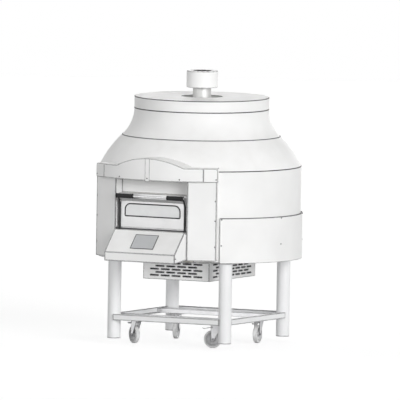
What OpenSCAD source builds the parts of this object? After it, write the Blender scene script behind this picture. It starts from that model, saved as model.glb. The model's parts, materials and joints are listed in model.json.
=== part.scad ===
// Rotating pizza oven: a round insulated oven with a turning stone hearth, on four legs and casters.
// Millimetres, +Z up, the mouth towards -Y. The origin is on the floor under the middle of the oven.

/* [Drum] */
// Outer radius of the drum
drum_r = 905; // [880:1:930]
// How far the skirt's outer face stands out from the drum
skirt_out = 17; // [14:1:20]
// Height of the deck's underside above the floor
deck_z = 787; // [770:1:810]
// Height of the skirt
skirt_h = 406; // [390:1:420]
// Height of the drum above the skirt
band_h = 421; // [410:1:440]
// Thickness of the outer steel skins
skin_t = 3; // [2:0.5:4]
// Gap between a column and the end of the skirt
skirt_gap = 22; // [16:1:30]
// Height of the hood from the drum's top edge to the neck
hood_h = 508; // [480:1:540]
// How far the neck is set in from the drum
neck_in = 298; // [280:1:315]
// Share of that set-in which lies outside the hood's turning point
hood_turn_in_share = 0.648; // [0.63:0.002:0.67]
// Share of the hood's height which lies below the turning point
hood_turn_h_share = 0.52; // [0.5:0.005:0.54]
// Height of the straight neck
neck_h = 107; // [95:1:120]
// Radius of the hole in the top disc
top_hole_r = 184; // [170:1:200]

/* [Flue] */
// Inner radius of the flue pipe
flue_bore_r = 75; // [70:1:80]
// Wall of the flue pipe
flue_wall = 8; // [6:1:10]
// Gap between the top disc and the chimney cap
cap_gap = 81; // [70:1:100]
// Height of the chimney cap
cap_h = 150; // [135:1:165]
// Outer radius of the chimney cap
cap_r = 141; // [132:1:150]
// Rounding of the chimney cap's edges
cap_round = 9; // [6:1:12]

/* [Stand] */
// Outer radius of a leg
leg_r = 60; // [55:1:64]
// Wall of a leg
leg_wall = 4; // [3:0.5:6]
// Share of the drum's radius at which a leg stands to the side
leg_x_share = 0.619; // [0.605:0.001:0.63]
// Share of the drum's radius at which a leg stands to the front or rear
leg_y_share = 0.63; // [0.615:0.001:0.64]
// Height of the legs' lower ends above the floor
leg_lift = 54; // [40:1:60]
// Height of the shelf rails' underside above the floor
rail_z = 221; // [218:1:235]
// Height of a shelf rail
rail_h = 54; // [50:1:60]
// Wall of a shelf rail
rail_wall = 4; // [3:0.5:5]
// Width of a shelf rail's flanges
rail_flange = 30; // [26:1:34]
// Distance from the legs' axes to the front and rear rails' outer faces
rail_out = 75; // [72:1:80]
// Distance from the legs' axes to the side rails' outer faces
side_rail_out = 45; // [40:1:50]
// How far a rail reaches past the line that its own legs' inner sides make
rail_lap = 35; // [32:1:40]
// Width of a cross bearer
bearer_w = 96; // [90:1:110]
// Height of a cross bearer
bearer_h = 40; // [36:1:44]

/* [Casters] */
// Radius of a caster wheel
wheel_r = 80; // [77:1:81]
// Width of a caster tyre
tyre_w = 38; // [34:1:40]
// Thickness of a tyre
tyre_t = 17; // [15:1:19]
// How far a caster's swivel axis is set in sideways from the leg's
caster_side_in = 146; // [138:1:152]
// How far a caster's swivel axis is set in lengthways from the leg's
caster_end_in = 170; // [164:1:180]
// How far a wheel trails behind its swivel axis
trail = 54; // [50:1:56]
// Radius of a wheel's axle
axle_r = 6; // [5:0.5:7]
// Radius of a swivel's king pin
king_r = 8; // [7:0.5:9]
// Thickness of a caster's top plate
plate_t = 8; // [6:1:9]
// Length of a brake pedal
pedal_l = 72; // [66:1:78]

/* [Portal] */
// Clear width between the two columns
portal_w = 720; // [710:1:730]
// How far the columns' inner edges stand in front of the drum
column_out = 60; // [56:1:64]
// Width of a column's face
column_w = 270; // [264:1:276]
// Angle at which a column's face turns away from the front
column_angle = 23.3; // [23:0.1:24]
// Height of the columns' feet above the deck's underside
column_lift = 31; // [28:1:34]
// Angle from the front to the joints in the header
header_angle = 28.6; // [28:0.1:29.4]
// Height of the header's lower edge above the deck's underside
header_lift = 743; // [738:1:750]
// Height of the header's straight ends
header_h = 122; // [114:1:130]
// Radius of the header's upper outer corners
header_corner_r = 18; // [14:1:22]
// Rise of the header's arch over its ends
arch_rise = 78; // [70:1:86]
// Width of the header's arch
arch_w = 676; // [650:1:690]
// Width of the strip over the header's middle
strip_w = 47; // [42:1:52]
// How far the panel over the mouth is set back from the drum's front
lintel_back = 65; // [60:1:70]

/* [Mouth] */
// Width between a column and the side of the mouth
mouth_side = 70; // [65:1:80]
// Height of the mouth
mouth_h = 250; // [240:1:255]
// Height of the sill above the deck's underside
sill_lift = 308; // [304:1:312]
// How far the mouth frame stands in front of the drum
mouth_out = 20; // [16:1:24]
// Thickness of the lining blocks round the mouth
lining_t = 50; // [46:1:52]

/* [Door] */
// How far the door leaf reaches past the mouth on either side
door_lap = 32; // [28:1:35]
// Height of the door leaf's flat front
door_h = 238; // [234:1:242]
// Depth of the door leaf, from its front to its back
door_t = 10.7; // [10:0.1:12]
// Height of the hinge axis above the deck's underside
hinge_lift = 293; // [291:1:295]
// How far the hinge axis lies in front of the door leaf's front
hinge_out = 8; // [7:0.5:10]
// Radius of the hinge rod
hinge_r = 6; // [5:0.5:7]
// Width of the leaf beside the window
window_side = 40; // [37:1:52]
// Height of the window
window_h = 119; // [110:1:124]
// Height of the window's lower edge above the leaf's
window_lift = 98; // [92:1:100]
// Radius of the window's upper corners
window_top_r = 58; // [50:1:60]
// Radius of the window's lower corners
window_foot_r = 15; // [12:1:20]
// Thickness of the window glass
glass_t = 4; // [3:0.5:5]
// How far the handle bar lies in front of the door leaf
handle_out = 57; // [54:1:64]
// Height of the handle bar above the leaf's lower edge
handle_lift = 286; // [282:1:292]
// Radius of the handle bar
handle_r = 7; // [6:0.5:9]
// Radius of a handle grip
grip_r = 21; // [18:1:22]
// Length of a handle grip
grip_l = 150; // [130:1:160]
// Width of a door arm, seen from the side
arm_w = 16; // [14:1:18]
// Thickness of a door arm
arm_t = 10; // [8:1:12]

/* [Console] */
// Gap between the console and a column
console_gap = 5; // [4:1:10]
// How far the console's front stands in front of the drum
console_out = 277; // [270:1:285]
// Height of the console's front lower edge above the deck's underside
console_lift = 13; // [8:1:18]
// Height of the console's upright front
console_face_h = 80; // [74:1:86]
// Height of the console's upper edge above the deck's underside
console_top = 287; // [284:1:287]
// Distance from the console's front to its upper edge
console_run = 192; // [186:1:196]
// Width of the display
display_w = 231; // [220:1:240]
// Length of the display along the slope
display_l = 167; // [160:1:174]
// Height by which the display's bezel stands out of the slope
bezel_t = 5; // [4:0.5:7]

/* [Hearth and drive] */
// Thickness of the insulation between the brick wall and the drum's skin
insulation_t = 142; // [138:1:150]
// Thickness of the hearth stones
stone_t = 60; // [54:1:64]
// Width of the joints between stones and between bricks
joint_w = 2; // [1:0.5:3]
// Thickness of the brick wall and the brick dome
brick_t = 98; // [90:1:104]
// Height of the brick wall above the hearth's top
brick_wall_h = 340; // [330:1:350]
// Rise of the brick dome's inside
brick_rise = 150; // [130:1:160]
// Number of bricks round the wall
brick_count = 16; // [16:1:18]
// Radius of the turntable's shaft
shaft_r = 35; // [30:1:40]
// Module of the drive gears
gear_module = 4; // [3.5:0.5:4.5]
// Number of teeth on the turntable's gear
gear_teeth = 72; // [68:4:76]
// Number of teeth on the pinion
pinion_teeth = 18; // [16:1:20]
// Thickness of the turntable's gear
gear_t = 25; // [20:1:30]

/* [Vent box] */
// Width of the slotted box under the drum
vent_w = 666; // [650:1:680]
// Length of the slotted box, front to rear
vent_l = 908; // [880:1:920]
// Height of the slotted box
vent_h = 192; // [180:1:200]
// Length of a vent slot
slot_l = 88; // [80:1:90]
// Height of a vent slot
slot_h = 11; // [9:1:12]

/* [Hidden] */
$fn = 180;

// Clearance where fixed pieces seat against each other
seat = 0.3;
// Radial clearance of a shaft that turns in its hole
running = 0.05;
// Overrun of cuts
cut = 5;
// Thickness of the deck plate
deck_t = 8;
// Thickness of the plate under the hearth stones, and its ribs
carrier_t = 12;

// Heights, worked up from the floor
deck_top = deck_z + deck_t;
skirt_top = deck_z + skirt_h;
band_top = skirt_top + band_h;
turn_z = band_top + hood_h * hood_turn_h_share;
neck_z = band_top + hood_h;
top_z = neck_z + neck_h;
cap_z = top_z + cap_gap;
cap_top = cap_z + cap_h;
sill_z = deck_z + sill_lift;
header_z = deck_z + header_lift;
header_top = header_z + header_h;

// Widths that follow from the portal's
mouth_w = portal_w - 2 * mouth_side;
door_w = mouth_w + 2 * door_lap;
window_w = door_w - 2 * window_side;
console_w = portal_w - 2 * console_gap;

// Half width and top of the lining round the mouth
lining_x = mouth_w / 2 + lining_t;
lining_z = sill_z + mouth_h + lining_t;

// Radii and reaches from the drum's axis
skirt_r = drum_r + skirt_out;
hearth_r = drum_r - skin_t - insulation_t - brick_t - carrier_t;
leg_x = drum_r * leg_x_share;
leg_y = drum_r * leg_y_share;
caster_x = leg_x - caster_side_in;
caster_y = leg_y - caster_end_in;
turn_r = drum_r - neck_in * hood_turn_in_share;
neck_r = drum_r - neck_in;
lintel_y = -(drum_r - lintel_back);
mouth_y = -(drum_r + mouth_out);
console_y = -(drum_r + console_out);
// The oven reaches further in front of the drum's axis than behind it
axis_y = (-console_y - skirt_r) / 2;
flue_r = flue_bore_r + flue_wall;

// The hood's outline is two arcs that share a tangent at the turning point.
// The upper arc ends upright at the neck; its centre lies outside the hood.
upper_run = turn_r - neck_r;
upper_rise = neck_z - turn_z;
upper_arc_r = (upper_run * upper_run + upper_rise * upper_rise) / (2 * upper_run);
upper_centre = [neck_r + upper_arc_r, neck_z];
turn_point = [turn_r, turn_z];
turn_normal = (turn_point - upper_centre) / upper_arc_r;
lower_chord = [drum_r, band_top] - turn_point;
lower_arc_r = (lower_chord * lower_chord) / (2 * (lower_chord * turn_normal));
lower_centre = turn_point + turn_normal * lower_arc_r;

// Portal outline in plan, right-hand side
column_dir = [cos(column_angle), sin(column_angle)];
column_normal = [sin(column_angle), -cos(column_angle)];
column_inner = [portal_w / 2, -(drum_r + column_out)];
column_outer = column_inner + column_w * column_dir;
column_return = norm(column_outer) - drum_r + skin_t;
// The skirt starts a gap behind the line along which the column returns to the drum
skirt_start_angle = column_angle + asin(column_outer * column_dir / skirt_r)
    + 2 * asin(skirt_gap / skirt_r / 2);
column_plan = [column_inner, column_outer, column_outer - column_return * column_normal,
    [portal_w / 2, lintel_y]];
column_z = deck_z + column_lift;
// The header's face is an arc that passes just outside the columns' outer edges
header_r = norm(column_outer) + skin_t / 2;
header_out = header_r - drum_r;
header_joint = header_r * [sin(header_angle), -cos(header_angle)];
// Each end of the header runs from its joint to the column's outer edge, and folds back round it
header_end = column_outer + (skin_t + seat) * (column_dir + column_normal);
header_end_w = norm(header_end - header_joint);
header_end_dir = (header_end - header_joint) / header_end_w;
header_end_normal = [header_end_dir[1], -header_end_dir[0]];
header_end_back = header_end - (header_out + header_end_w / 2) * column_normal;
arch_r = (arch_w * arch_w / 4 + arch_rise * arch_rise) / (2 * arch_rise);
arch_z = header_top + arch_rise - arch_r;

// Places on the door
door_y = mouth_y - seat - door_t;
hinge_y = door_y - hinge_out;
hinge_z = deck_z + hinge_lift;
door_z = hinge_z + 2 * hinge_r;
handle_y = door_y - handle_out;
handle_z = door_z + handle_lift;
// The arms stand against the leaf's side edges and overlap its front by a quarter of their width
arm_y = door_y - arm_w / 4;
arm_bend = arm_y - handle_y;
arm_bend_rise = handle_z - door_z - door_h + arm_w * 3;
arm_bend_r = (arm_bend * arm_bend + arm_bend_rise * arm_bend_rise) / (2 * arm_bend);
arm_bend_angle = asin(arm_bend_rise / arm_bend_r);
arm_boss_r = handle_r + arm_w / 3;
// The leaf's top flange leans forward, and stops short of the grips
flange_run = handle_out - grip_r;
flange_rise = (handle_lift - door_h) / 2;
seal_w = 9;
glass_lap = 12;

// Places on the console
console_sill = hinge_z - 3 * hinge_r;
console_lip = 18;
slope_foot = [console_y, deck_z + console_lift + console_face_h];
slope_head = [console_y + console_run, deck_z + console_top];
slope_angle = atan2(slope_head[1] - slope_foot[1], slope_head[0] - slope_foot[0]);
console_back = lintel_y - console_gap;
console_floor = column_z + skin_t;
console_profile = [[console_y, deck_z + console_lift], [hinge_y, console_floor],
    [console_back, console_floor], [console_back, console_sill],
    [slope_head[0] + console_lip, console_sill], [slope_head[0] + console_lip, slope_head[1]],
    slope_head, slope_foot];

// Places on the hearth and its drive
// How far the hearth lies above the sill
hearth_lift = 5;
// Gap round the parts that turn
turn_gap = 5;
hearth_z = sill_z + hearth_lift;
carrier_z = hearth_z - stone_t - carrier_t - seat;
bed_top = carrier_z - carrier_t * 2 - turn_gap;
wall_r = hearth_r + carrier_t;
wall_out_r = wall_r + brick_t;
wall_z1 = hearth_z + brick_wall_h;
dome_arc_r = (wall_r * wall_r + brick_rise * brick_rise) / (2 * brick_rise);
dome_arc_z = wall_z1 + brick_rise - dome_arc_r;
// Heights of the joints between the courses, which run level with the mouth's lining
courses = [bed_top, sill_z - lining_t, lining_z, wall_z1];
hub_r = 62;
housing_flange_r = 110;
housing_top = deck_top + housing_flange_r;
housing_foot = deck_z - deck_t * 6;
gear_pitch_r = gear_module * gear_teeth / 2;
pinion_pitch_r = gear_module * pinion_teeth / 2;
gear_z = deck_z - vent_h + slot_l / 2;
shaft_foot = gear_z - turn_gap;
motor_w = 110;
pinion_shaft_r = 12;
motor_z = gear_z + gear_t + turn_gap * 3;

// The dome's bricks lie in two rings, with a joint that points at the dome's centre
dome_centre = [0, dome_arc_z];
dome_joint_angle = 15;
dome_edge_angle = 40;

// Counts of stones, blocks and screws round the drum
stone_count = 12;
block_count = 12;
rib_count = 6;
lining_count = 4;
filling_count = 6;
skirt_screw_count = 8;

// Shares of other sizes
side_lap_share = 5 / 7;
plate_length_share = 1.15;
boss_share = 2.4;
fork_back_share = 0.6;
fork_front_share = 1.2;
pivot_share = 1.15;
rim_share = 0.4;
skirt_mid_share = 0.4;
column_screw_shares = [0.18, 0.51, 0.76];
header_screw_share = 0.585;
console_screw_share = 0.8;
screen_share = 0.9;
core_share = 0.3;
tooth_tip_share = 0.9;
tooth_root_share = 1.2;
tooth_half_shares = [0.31, 0.235, 0.125];
motor_can_share = 0.4;
slot_pitch_share = 1.25;
slot_row_share = 2.55;
slot_first_share = 3.4;
gland_in_share = 2.5;
gland_nut_share = 1.3;

// Small shared sizes
stiffener_h = 36;
skirt_mid = deck_z + skirt_h * skirt_mid_share;
// Angle between the skirt's end and its first screw
skirt_end_angle = 1;
screw_r = 6;
screw_t = 3;
vent_wall = 2;
gas_pipe_r = 14;
gas_stub_r = 12;
burner_l = 120;
burner_h = 60;
burner_z = hearth_z + burner_h / 2;
burner_y = wall_r + brick_t / 2;
gland_r = 14;
gland_bore_r = 8;
gland_l = 28;
gland_x = gland_r * gland_in_share - vent_w / 2;
gland_z = deck_z - vent_h + gland_r * 3;

// Places of the casters: front left, front right, rear left, rear right
caster_sides = [[-1, -1], [1, -1], [-1, 1], [1, 1]];
// Direction in plan in which each wheel trails
caster_turns = [143.3, 207.3, -75.5, -82.6];
plate_z = rail_z + rail_wall - plate_t;
fork_t = 5;
fork_gap = tyre_w + fork_t;
fork_top = plate_z - seat;
head_t = 10;
pedal_pivot = [trail * pivot_share, fork_top - head_t * 3];
pedal_pin_r = 4;
fork_back = -trail * fork_back_share;
fork_front = pedal_pivot[0] + head_t * fork_front_share;
// Angle by which a pedal droops, and by which its toe is turned up again
pedal_droop_angle = 10;
pedal_toe_angle = 35;
slot_row_count = 5;

// Moves a piece from the drum's axis to the oven's own origin
module on_drum() {
    translate([0, axis_y, 0]) children();
}

// A run of points on an arc round c, from angle a to angle b in n steps
function arc_points(c, r, a, b, n) = [for (i = [0 : n]) c + r * [cos(a + (b - a) * i / n),
    sin(a + (b - a) * i / n)]];

// The anticlockwise outline p moved in by t all round
function inset(p, t) = [for (i = [0 : len(p) - 1])
    let (a = p[(i + len(p) - 1) % len(p)], b = p[i], c = p[(i + 1) % len(p)],
        u = (b - a) / norm(b - a), v = (c - b) / norm(c - b),
        n = [-u[1], u[0]], m = [-v[1], v[0]])
    b + t * (n + m) / (1 + n * m)];

// The points of an outline mirrored to the other side, kept anticlockwise
function mirrored(p) = [for (i = [len(p) - 1 : -1 : 0]) [-p[i][0], p[i][1]]];

// A ring with a square section
module ring(outer, inner, z0, z1) {
    translate([0, 0, z0]) difference() {
        cylinder(r = outer, h = z1 - z0);
        translate([0, 0, -cut]) cylinder(r = inner, h = z1 - z0 + 2 * cut);
    }
}

// Part of a ring, round from angle a to angle b, with 0 at the front and positive to the right
module ring_part(outer, inner, z0, z1, a, b) {
    rotate([0, 0, a - 90]) rotate_extrude(angle = b - a)
        translate([inner, z0]) square([outer - inner, z1 - z0]);
}

// A profile in the Y-Z plane, pulled along X and centred on it
module along_x(w) {
    translate([-w / 2, 0, 0]) rotate([90, 0, 90]) linear_extrude(w) children();
}

// A profile in the X-Z plane, pulled backwards from y
module along_y(y, t) {
    translate([0, y + t, 0]) rotate([90, 0, 0]) linear_extrude(t) children();
}

// A block between two corners
module block(low, high) {
    translate(low) cube(high - low);
}

// Four copies at the corners of a rectangle round the drum's axis
module at_corners(x, y) {
    for (s = caster_sides) translate([s[0] * x, s[1] * y, 0]) children();
}

// Stand

module leg() {
    difference() {
        translate([0, 0, leg_lift]) cylinder(r = leg_r, h = deck_z - leg_lift);
        translate([0, 0, leg_lift + leg_wall]) cylinder(r = leg_r - leg_wall, h = deck_z);
    }
}

module legs() {
    color("gainsboro") on_drum() at_corners(leg_x, leg_y) leg();
}

// The channel section of a rail, open towards the middle of the stand
module rail_section() {
    difference() {
        square([rail_flange, rail_h]);
        translate([rail_wall, rail_wall]) square([rail_flange, rail_h - 2 * rail_wall]);
    }
}

module shelf_rails() {
    end_l = 2 * (leg_x - leg_r + rail_lap);
    side_l = 2 * (leg_y - leg_r + rail_lap * side_lap_share);
    color("whitesmoke") on_drum() difference() {
        union() {
            for (turn = [0, 180]) rotate([0, 0, turn]) {
                translate([0, -(leg_y + rail_out), rail_z]) along_x(end_l) rail_section();
                rotate([0, 0, 90]) translate([0, -(leg_x + side_rail_out), rail_z])
                    along_x(side_l) rail_section();
            }
        }
        at_corners(leg_x, leg_y) translate([0, 0, rail_z - cut])
            cylinder(r = leg_r + seat, h = rail_h + 2 * cut);
    }
}

module caster_bearers() {
    half = leg_x + side_rail_out - rail_wall - seat;
    z = rail_z + rail_wall;
    color("lightgrey") on_drum() for (s = [-1, 1]) translate([0, s * caster_y, z]) difference() {
        block([-half, -bearer_w / 2, 0], [half, bearer_w / 2, bearer_h]);
        block([-half - cut, -bearer_w / 2 + rail_wall, rail_wall],
            [half + cut, bearer_w / 2 - rail_wall, bearer_h + cut]);
    }
}

module caster_plates() {
    color("silver") on_drum() at_corners(caster_x, caster_y) {
        translate([0, 0, plate_z + plate_t / 2])
            cube([bearer_w * plate_length_share, bearer_w, plate_t], center = true);
        translate([0, 0, plate_z - head_t - plate_t / 2]) cylinder(r = king_r, h = head_t + plate_t);
        translate([0, 0, plate_z - 2 * head_t]) cylinder(r = king_r * 2, h = head_t - plate_t / 4);
    }
}

// Casters: each is drawn with its swivel axis at the origin and its wheel trailing along +X

module at_caster(i) {
    on_drum() translate([caster_sides[i][0] * caster_x, caster_sides[i][1] * caster_y, 0])
        rotate([0, 0, caster_turns[i]]) children();
}

// One side plate of a fork, in the X-Z plane
module fork_side() {
    axle = [trail, wheel_r];
    boss = axle_r * boss_share;
    difference() {
        union() {
            polygon([[fork_back, fork_top], [fork_back, fork_top - head_t * 2],
                axle - [boss, 0], axle + [boss, 0], [fork_front, pedal_pivot[1] - head_t],
                [fork_front, fork_top]]);
            translate(axle) circle(r = boss);
        }
        translate(pedal_pivot) circle(r = pedal_pin_r + running);
    }
}

module caster_fork(i) {
    color("silver") at_caster(i) {
        difference() {
            union() {
                for (y = [-fork_gap / 2 - fork_t, fork_gap / 2]) along_y(y, fork_t) fork_side();
                block([fork_back, -(fork_gap + fork_t) / 2, fork_top - head_t],
                    [fork_front, (fork_gap + fork_t) / 2, fork_top]);
            }
            translate([0, 0, fork_top - head_t - cut])
                cylinder(r = king_r + running, h = head_t + 2 * cut);
        }
        translate([trail, 0, wheel_r]) rotate([90, 0, 0])
            cylinder(r = axle_r, h = fork_gap + 4 * fork_t, center = true);
    }
}

// Axis of a wheel
module on_axle() {
    translate([trail, 0, wheel_r]) rotate([90, 0, 0]) children();
}

module caster_wheel(i) {
    core_r = wheel_r - tyre_t - seat;
    color("dimgray") at_caster(i) on_axle() difference() {
        union() {
            cylinder(r = core_r, h = tyre_w / 2, center = true);
            cylinder(r = core_r / 3, h = tyre_w, center = true);
            ring(core_r, core_r - tyre_t / 2, -tyre_w * rim_share, tyre_w * rim_share);
        }
        cylinder(r = axle_r + running, h = tyre_w * 2, center = true);
    }
}

module caster_tyre(i) {
    crown = tyre_t / 3;
    color("darkslategray") at_caster(i) on_axle() rotate_extrude() polygon(concat(
        [[wheel_r - tyre_t, -tyre_w / 2]],
        arc_points([wheel_r - crown, -tyre_w / 2 + crown], crown, -90, 0, 6),
        arc_points([wheel_r - crown, tyre_w / 2 - crown], crown, 0, 90, 6),
        [[wheel_r - tyre_t, tyre_w / 2]]));
}

module caster_brake(i) {
    reach = pedal_l / cos(pedal_droop_angle);
    color("dimgray") at_caster(i) translate([pedal_pivot[0], 0, pedal_pivot[1]]) {
        rotate([90, 0, 0]) cylinder(r = pedal_pin_r, h = fork_gap + 3 * fork_t, center = true);
        rotate([90, 0, 0]) cylinder(r = pedal_pin_r * 2, h = fork_gap - fork_t / 2, center = true);
        rotate([0, pedal_droop_angle, 0]) {
            block([0, -fork_gap / 2 + fork_t, -fork_t / 2], [reach, fork_gap / 2 - fork_t, fork_t / 2]);
            translate([reach, 0, 0]) rotate([0, -pedal_toe_angle, 0])
                block([-fork_t / 2, -fork_gap / 2, -fork_t / 2], [fork_t * 4, fork_gap / 2, fork_t / 2]);
        }
    }
}

// Drum

module deck_plate() {
    color("silver") on_drum() difference() {
        union() {
            ring(drum_r - skin_t - seat, hub_r + seat, deck_z, deck_top);
            ring_part(skirt_r - skin_t - seat, drum_r - 2 * skin_t, deck_z, deck_top,
                skirt_start_angle, 360 - skirt_start_angle);
        }
        translate([0, burner_y, deck_z - cut]) cylinder(r = gas_pipe_r + seat, h = deck_t + 2 * cut);
    }
}

module skirt() {
    color("white") on_drum()
        ring_part(skirt_r, skirt_r - skin_t, deck_z, skirt_top, skirt_start_angle, 360 - skirt_start_angle);
}

module drum_band() {
    hoop_r = skirt_r - skin_t - seat;
    hoop_angle = skirt_start_angle + skirt_end_angle;
    color("white") on_drum() {
        difference() {
            ring(drum_r, drum_r - skin_t, deck_top + seat, band_top);
            block([-portal_w / 2 - skin_t - seat, -drum_r - cut, deck_z],
                [portal_w / 2 + skin_t + seat, 0, header_z + cut]);
        }
        for (z = [deck_top + stiffener_h, skirt_mid - stiffener_h / 2, skirt_top - stiffener_h - skin_t])
            ring_part(hoop_r, drum_r - skin_t / 2, z, z + stiffener_h, hoop_angle, 360 - hoop_angle);
    }
}

// Wedge that keeps the part of an arc between points p and q, seen from centre c
module arc_window(c, p, q) {
    polygon([c, c + 2 * (p - c), c + 2 * (q - c)]);
}

// Section of the lower hood: outside face out less than the outline by a, inside by b
module lower_section(a, b) {
    translate(lower_centre) difference() {
        circle(r = lower_arc_r - a);
        circle(r = lower_arc_r - b);
    }
}

module upper_section(a, b) {
    translate(upper_centre) difference() {
        circle(r = upper_arc_r + b);
        circle(r = upper_arc_r + a);
    }
}

module lower_hood() {
    color("white") on_drum() rotate_extrude() intersection() {
        lower_section(0, skin_t);
        arc_window(lower_centre, [drum_r, band_top], turn_point);
        translate([0, band_top + seat]) square([2 * drum_r, hood_h]);
    }
}

module upper_hood() {
    color("white") on_drum() rotate_extrude() intersection() {
        upper_section(0, skin_t);
        arc_window(upper_centre, turn_point + [-seat, seat], [neck_r - skin_t, neck_z]);
        translate([0, band_top]) square([drum_r, hood_h - seat]);
    }
}

module top_cap() {
    color("white") on_drum() {
        ring(neck_r, neck_r - skin_t, neck_z, top_z);
        ring(neck_r, top_hole_r, top_z - skin_t, top_z);
    }
}

// The pipe, and the collar that closes the neck round it
module flue_pipe() {
    collar_z = neck_z + neck_h / 2;
    collar_r = top_hole_r + 2 * flue_wall;
    color("silver") on_drum() {
        ring(flue_r, flue_bore_r, dome_arc_z + dome_arc_r + seat, cap_top);
        ring(collar_r, flue_r + seat, collar_z, collar_z + skin_t);
        ring(collar_r, collar_r - skin_t, collar_z, top_z - skin_t - seat);
    }
}

module flue_cap() {
    hole = flue_r + seat;
    c = cap_round;
    color("white") on_drum() {
        rotate_extrude() translate([0, cap_z]) difference() {
            polygon(concat([[hole, 0]],
                arc_points([cap_r - c, c], c, -90, 0, 6),
                arc_points([cap_r - c, cap_h - c], c, 0, 90, 6), [[hole, cap_h]]));
            translate([-cut, flue_wall]) square([cap_r - flue_wall + cut, cap_h - 2 * flue_wall]);
        }
    }
}

// Pan head that lies on a round wall of radius r, at an angle from the front
module screw_on_round(r, angle, z) {
    rotate([0, 0, angle]) translate([0, -r - seat, z]) rotate([90, 0, 0])
        cylinder(r = screw_r, h = screw_t);
}

// Pan head beside the edge at point p of a flat face on the right, which runs along direction d in plan
module screw_on_face(p, d, z) {
    edge = p - d * screw_r * 2 + [d[1], -d[0]] * seat;
    translate([edge[0], edge[1], z]) rotate([90, 0, atan2(d[1], d[0])]) cylinder(r = screw_r, h = screw_t);
}

// Pan heads on the oven's right half and, mirrored, on its left
module half_screws() {
    first = skirt_start_angle + skirt_end_angle;
    step = (360 - 2 * first) / (skirt_screw_count - 1);
    for (z = [skirt_top - screw_r - screw_t, skirt_mid], i = [0 : skirt_screw_count / 2 - 1])
        screw_on_round(skirt_r, first + step * i, z);
    for (share = column_screw_shares)
        screw_on_face(column_outer, column_dir, column_z + (header_z - column_z) * share);
    screw_on_face(header_end, header_end_dir, header_z + header_h / 5);
    screw_on_round(header_r, header_angle * header_screw_share, header_z + header_h / 6);
    for (y = [console_y + screw_r * 3, hinge_y])
        translate([console_w / 2 + seat, y, console_floor + screw_r * 4]) rotate([0, 90, 0])
            cylinder(r = screw_r * console_screw_share, h = screw_t * console_screw_share);
}

module body_screws() {
    color("dimgray") on_drum() {
        half_screws();
        mirror([1, 0, 0]) half_screws();
        screw_on_round(header_r + skin_t + seat, 0, header_z + header_h / 6);
    }
}

// Portal

// Folded sheet of a column in plan, open towards the drum
module column_sheet() {
    inside = inset(column_plan, skin_t);
    difference() {
        polygon(column_plan);
        polygon([inside[0], inside[1], inside[2] - column_return * column_normal,
            inside[3] + [0, column_return]]);
        circle(r = drum_r + seat);
    }
}

module column() {
    translate([0, 0, column_z])
        linear_extrude(header_top - header_corner_r - 2 * seat - column_z) column_sheet();
}

module right_column() {
    color("white") on_drum() column();
}

module left_column() {
    color("white") on_drum() mirror([1, 0, 0]) column();
}

// The header's outline from the front: straight ends with round corners and an arch, moved in by drop
module header_outline(drop) {
    half = header_end[0] - drop;
    centre = [header_end[0], header_top] - [header_corner_r, header_corner_r];
    translate([-half, header_z]) square([2 * half, header_h - header_corner_r]);
    translate([-centre[0], header_z]) square([2 * centre[0], header_h - drop]);
    for (side = [-1, 1]) translate([side * centre[0], centre[1]]) circle(r = header_corner_r - drop);
    intersection() {
        translate([0, arch_z]) circle(r = arch_r - drop);
        translate([-arch_w / 2, header_z]) square([arch_w, header_h + arch_rise + cut]);
    }
}

// Corner inside the fold at the header's end, t in from both of its faces
function header_fold(t) = header_end - t * (header_end_normal + column_dir)
    / (1 + header_end_normal * column_dir);

// The header's right end in plan: from the joint to the column's outer edge, and back to the drum
module header_end_plan() {
    far = header_out * header_end_dir;
    back = header_joint * drum_r / header_r;
    difference() {
        polygon([header_joint, header_end, header_end_back, back]);
        polygon([header_joint - skin_t * header_end_normal - far, header_fold(skin_t),
            header_end_back - skin_t * column_dir, back - far]);
        circle(r = drum_r + seat);
    }
}

module header_panels() {
    color("white") on_drum() {
        intersection() {
            ring_part(header_r, header_r - skin_t, header_z, header_top + arch_rise + cut,
                seat / 10 - header_angle, header_angle - seat / 10);
            along_y(-header_r - cut, header_r) header_outline(0);
        }
        for (side = [0, 1]) mirror([side, 0, 0]) intersection() {
            translate([0, 0, header_z]) linear_extrude(header_h) header_end_plan();
            along_y(-header_r - header_out, header_r) header_outline(0);
        }
    }
}

module header_strip() {
    color("white") on_drum() intersection() {
        ring(header_r + skin_t + seat, header_r + seat, header_z - stiffener_h / 4,
            header_top + arch_rise);
        block([-strip_w / 2, -header_r - 2 * skin_t, 0], [strip_w / 2, 0, cap_top]);
    }
}

// Plan of the space behind the header, moved in by t from its inner faces
module portal_plan(t) {
    side = [header_joint - (skin_t + t) * header_end_normal, header_fold(skin_t + t),
        header_end_back - (skin_t + t) * column_dir];
    intersection() {
        circle(r = header_r - skin_t - t);
        polygon([[0, 0], 2 * header_joint, mirrored([2 * header_joint])[0]]);
    }
    for (s = [0, 1]) mirror([s, 0])
        polygon([[0, 0], side[0] - joint_w * header_end_dir, side[0], side[1], side[2]]);
}

// The drum and the hood as one body, grown by t
module drum_body(t) {
    cylinder(r = drum_r + t, h = band_top);
    rotate_extrude() intersection() {
        translate(lower_centre) circle(r = lower_arc_r + t);
        square([drum_r + t, neck_z]);
    }
}

module portal_roof() {
    color("white") on_drum() difference() {
        intersection() {
            translate([0, 0, header_z]) linear_extrude(header_h + arch_rise) portal_plan(seat);
            along_y(-header_r - cut, header_r) difference() {
                header_outline(seat);
                header_outline(skin_t + seat);
            }
        }
        drum_body(seat);
    }
}

module lintel_panel() {
    w = portal_w / 2 - seat;
    soffit = header_z - skin_t;
    color("white") on_drum() {
        block([-w, lintel_y, lining_z + skin_t + joint_w], [w, lintel_y + skin_t, header_z]);
        intersection() {
            translate([0, 0, soffit]) cylinder(r = header_r - skin_t - seat, h = skin_t);
            block([-w, -header_r, soffit], [w, lintel_y + skin_t, header_z]);
        }
    }
}

// Mouth

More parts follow.
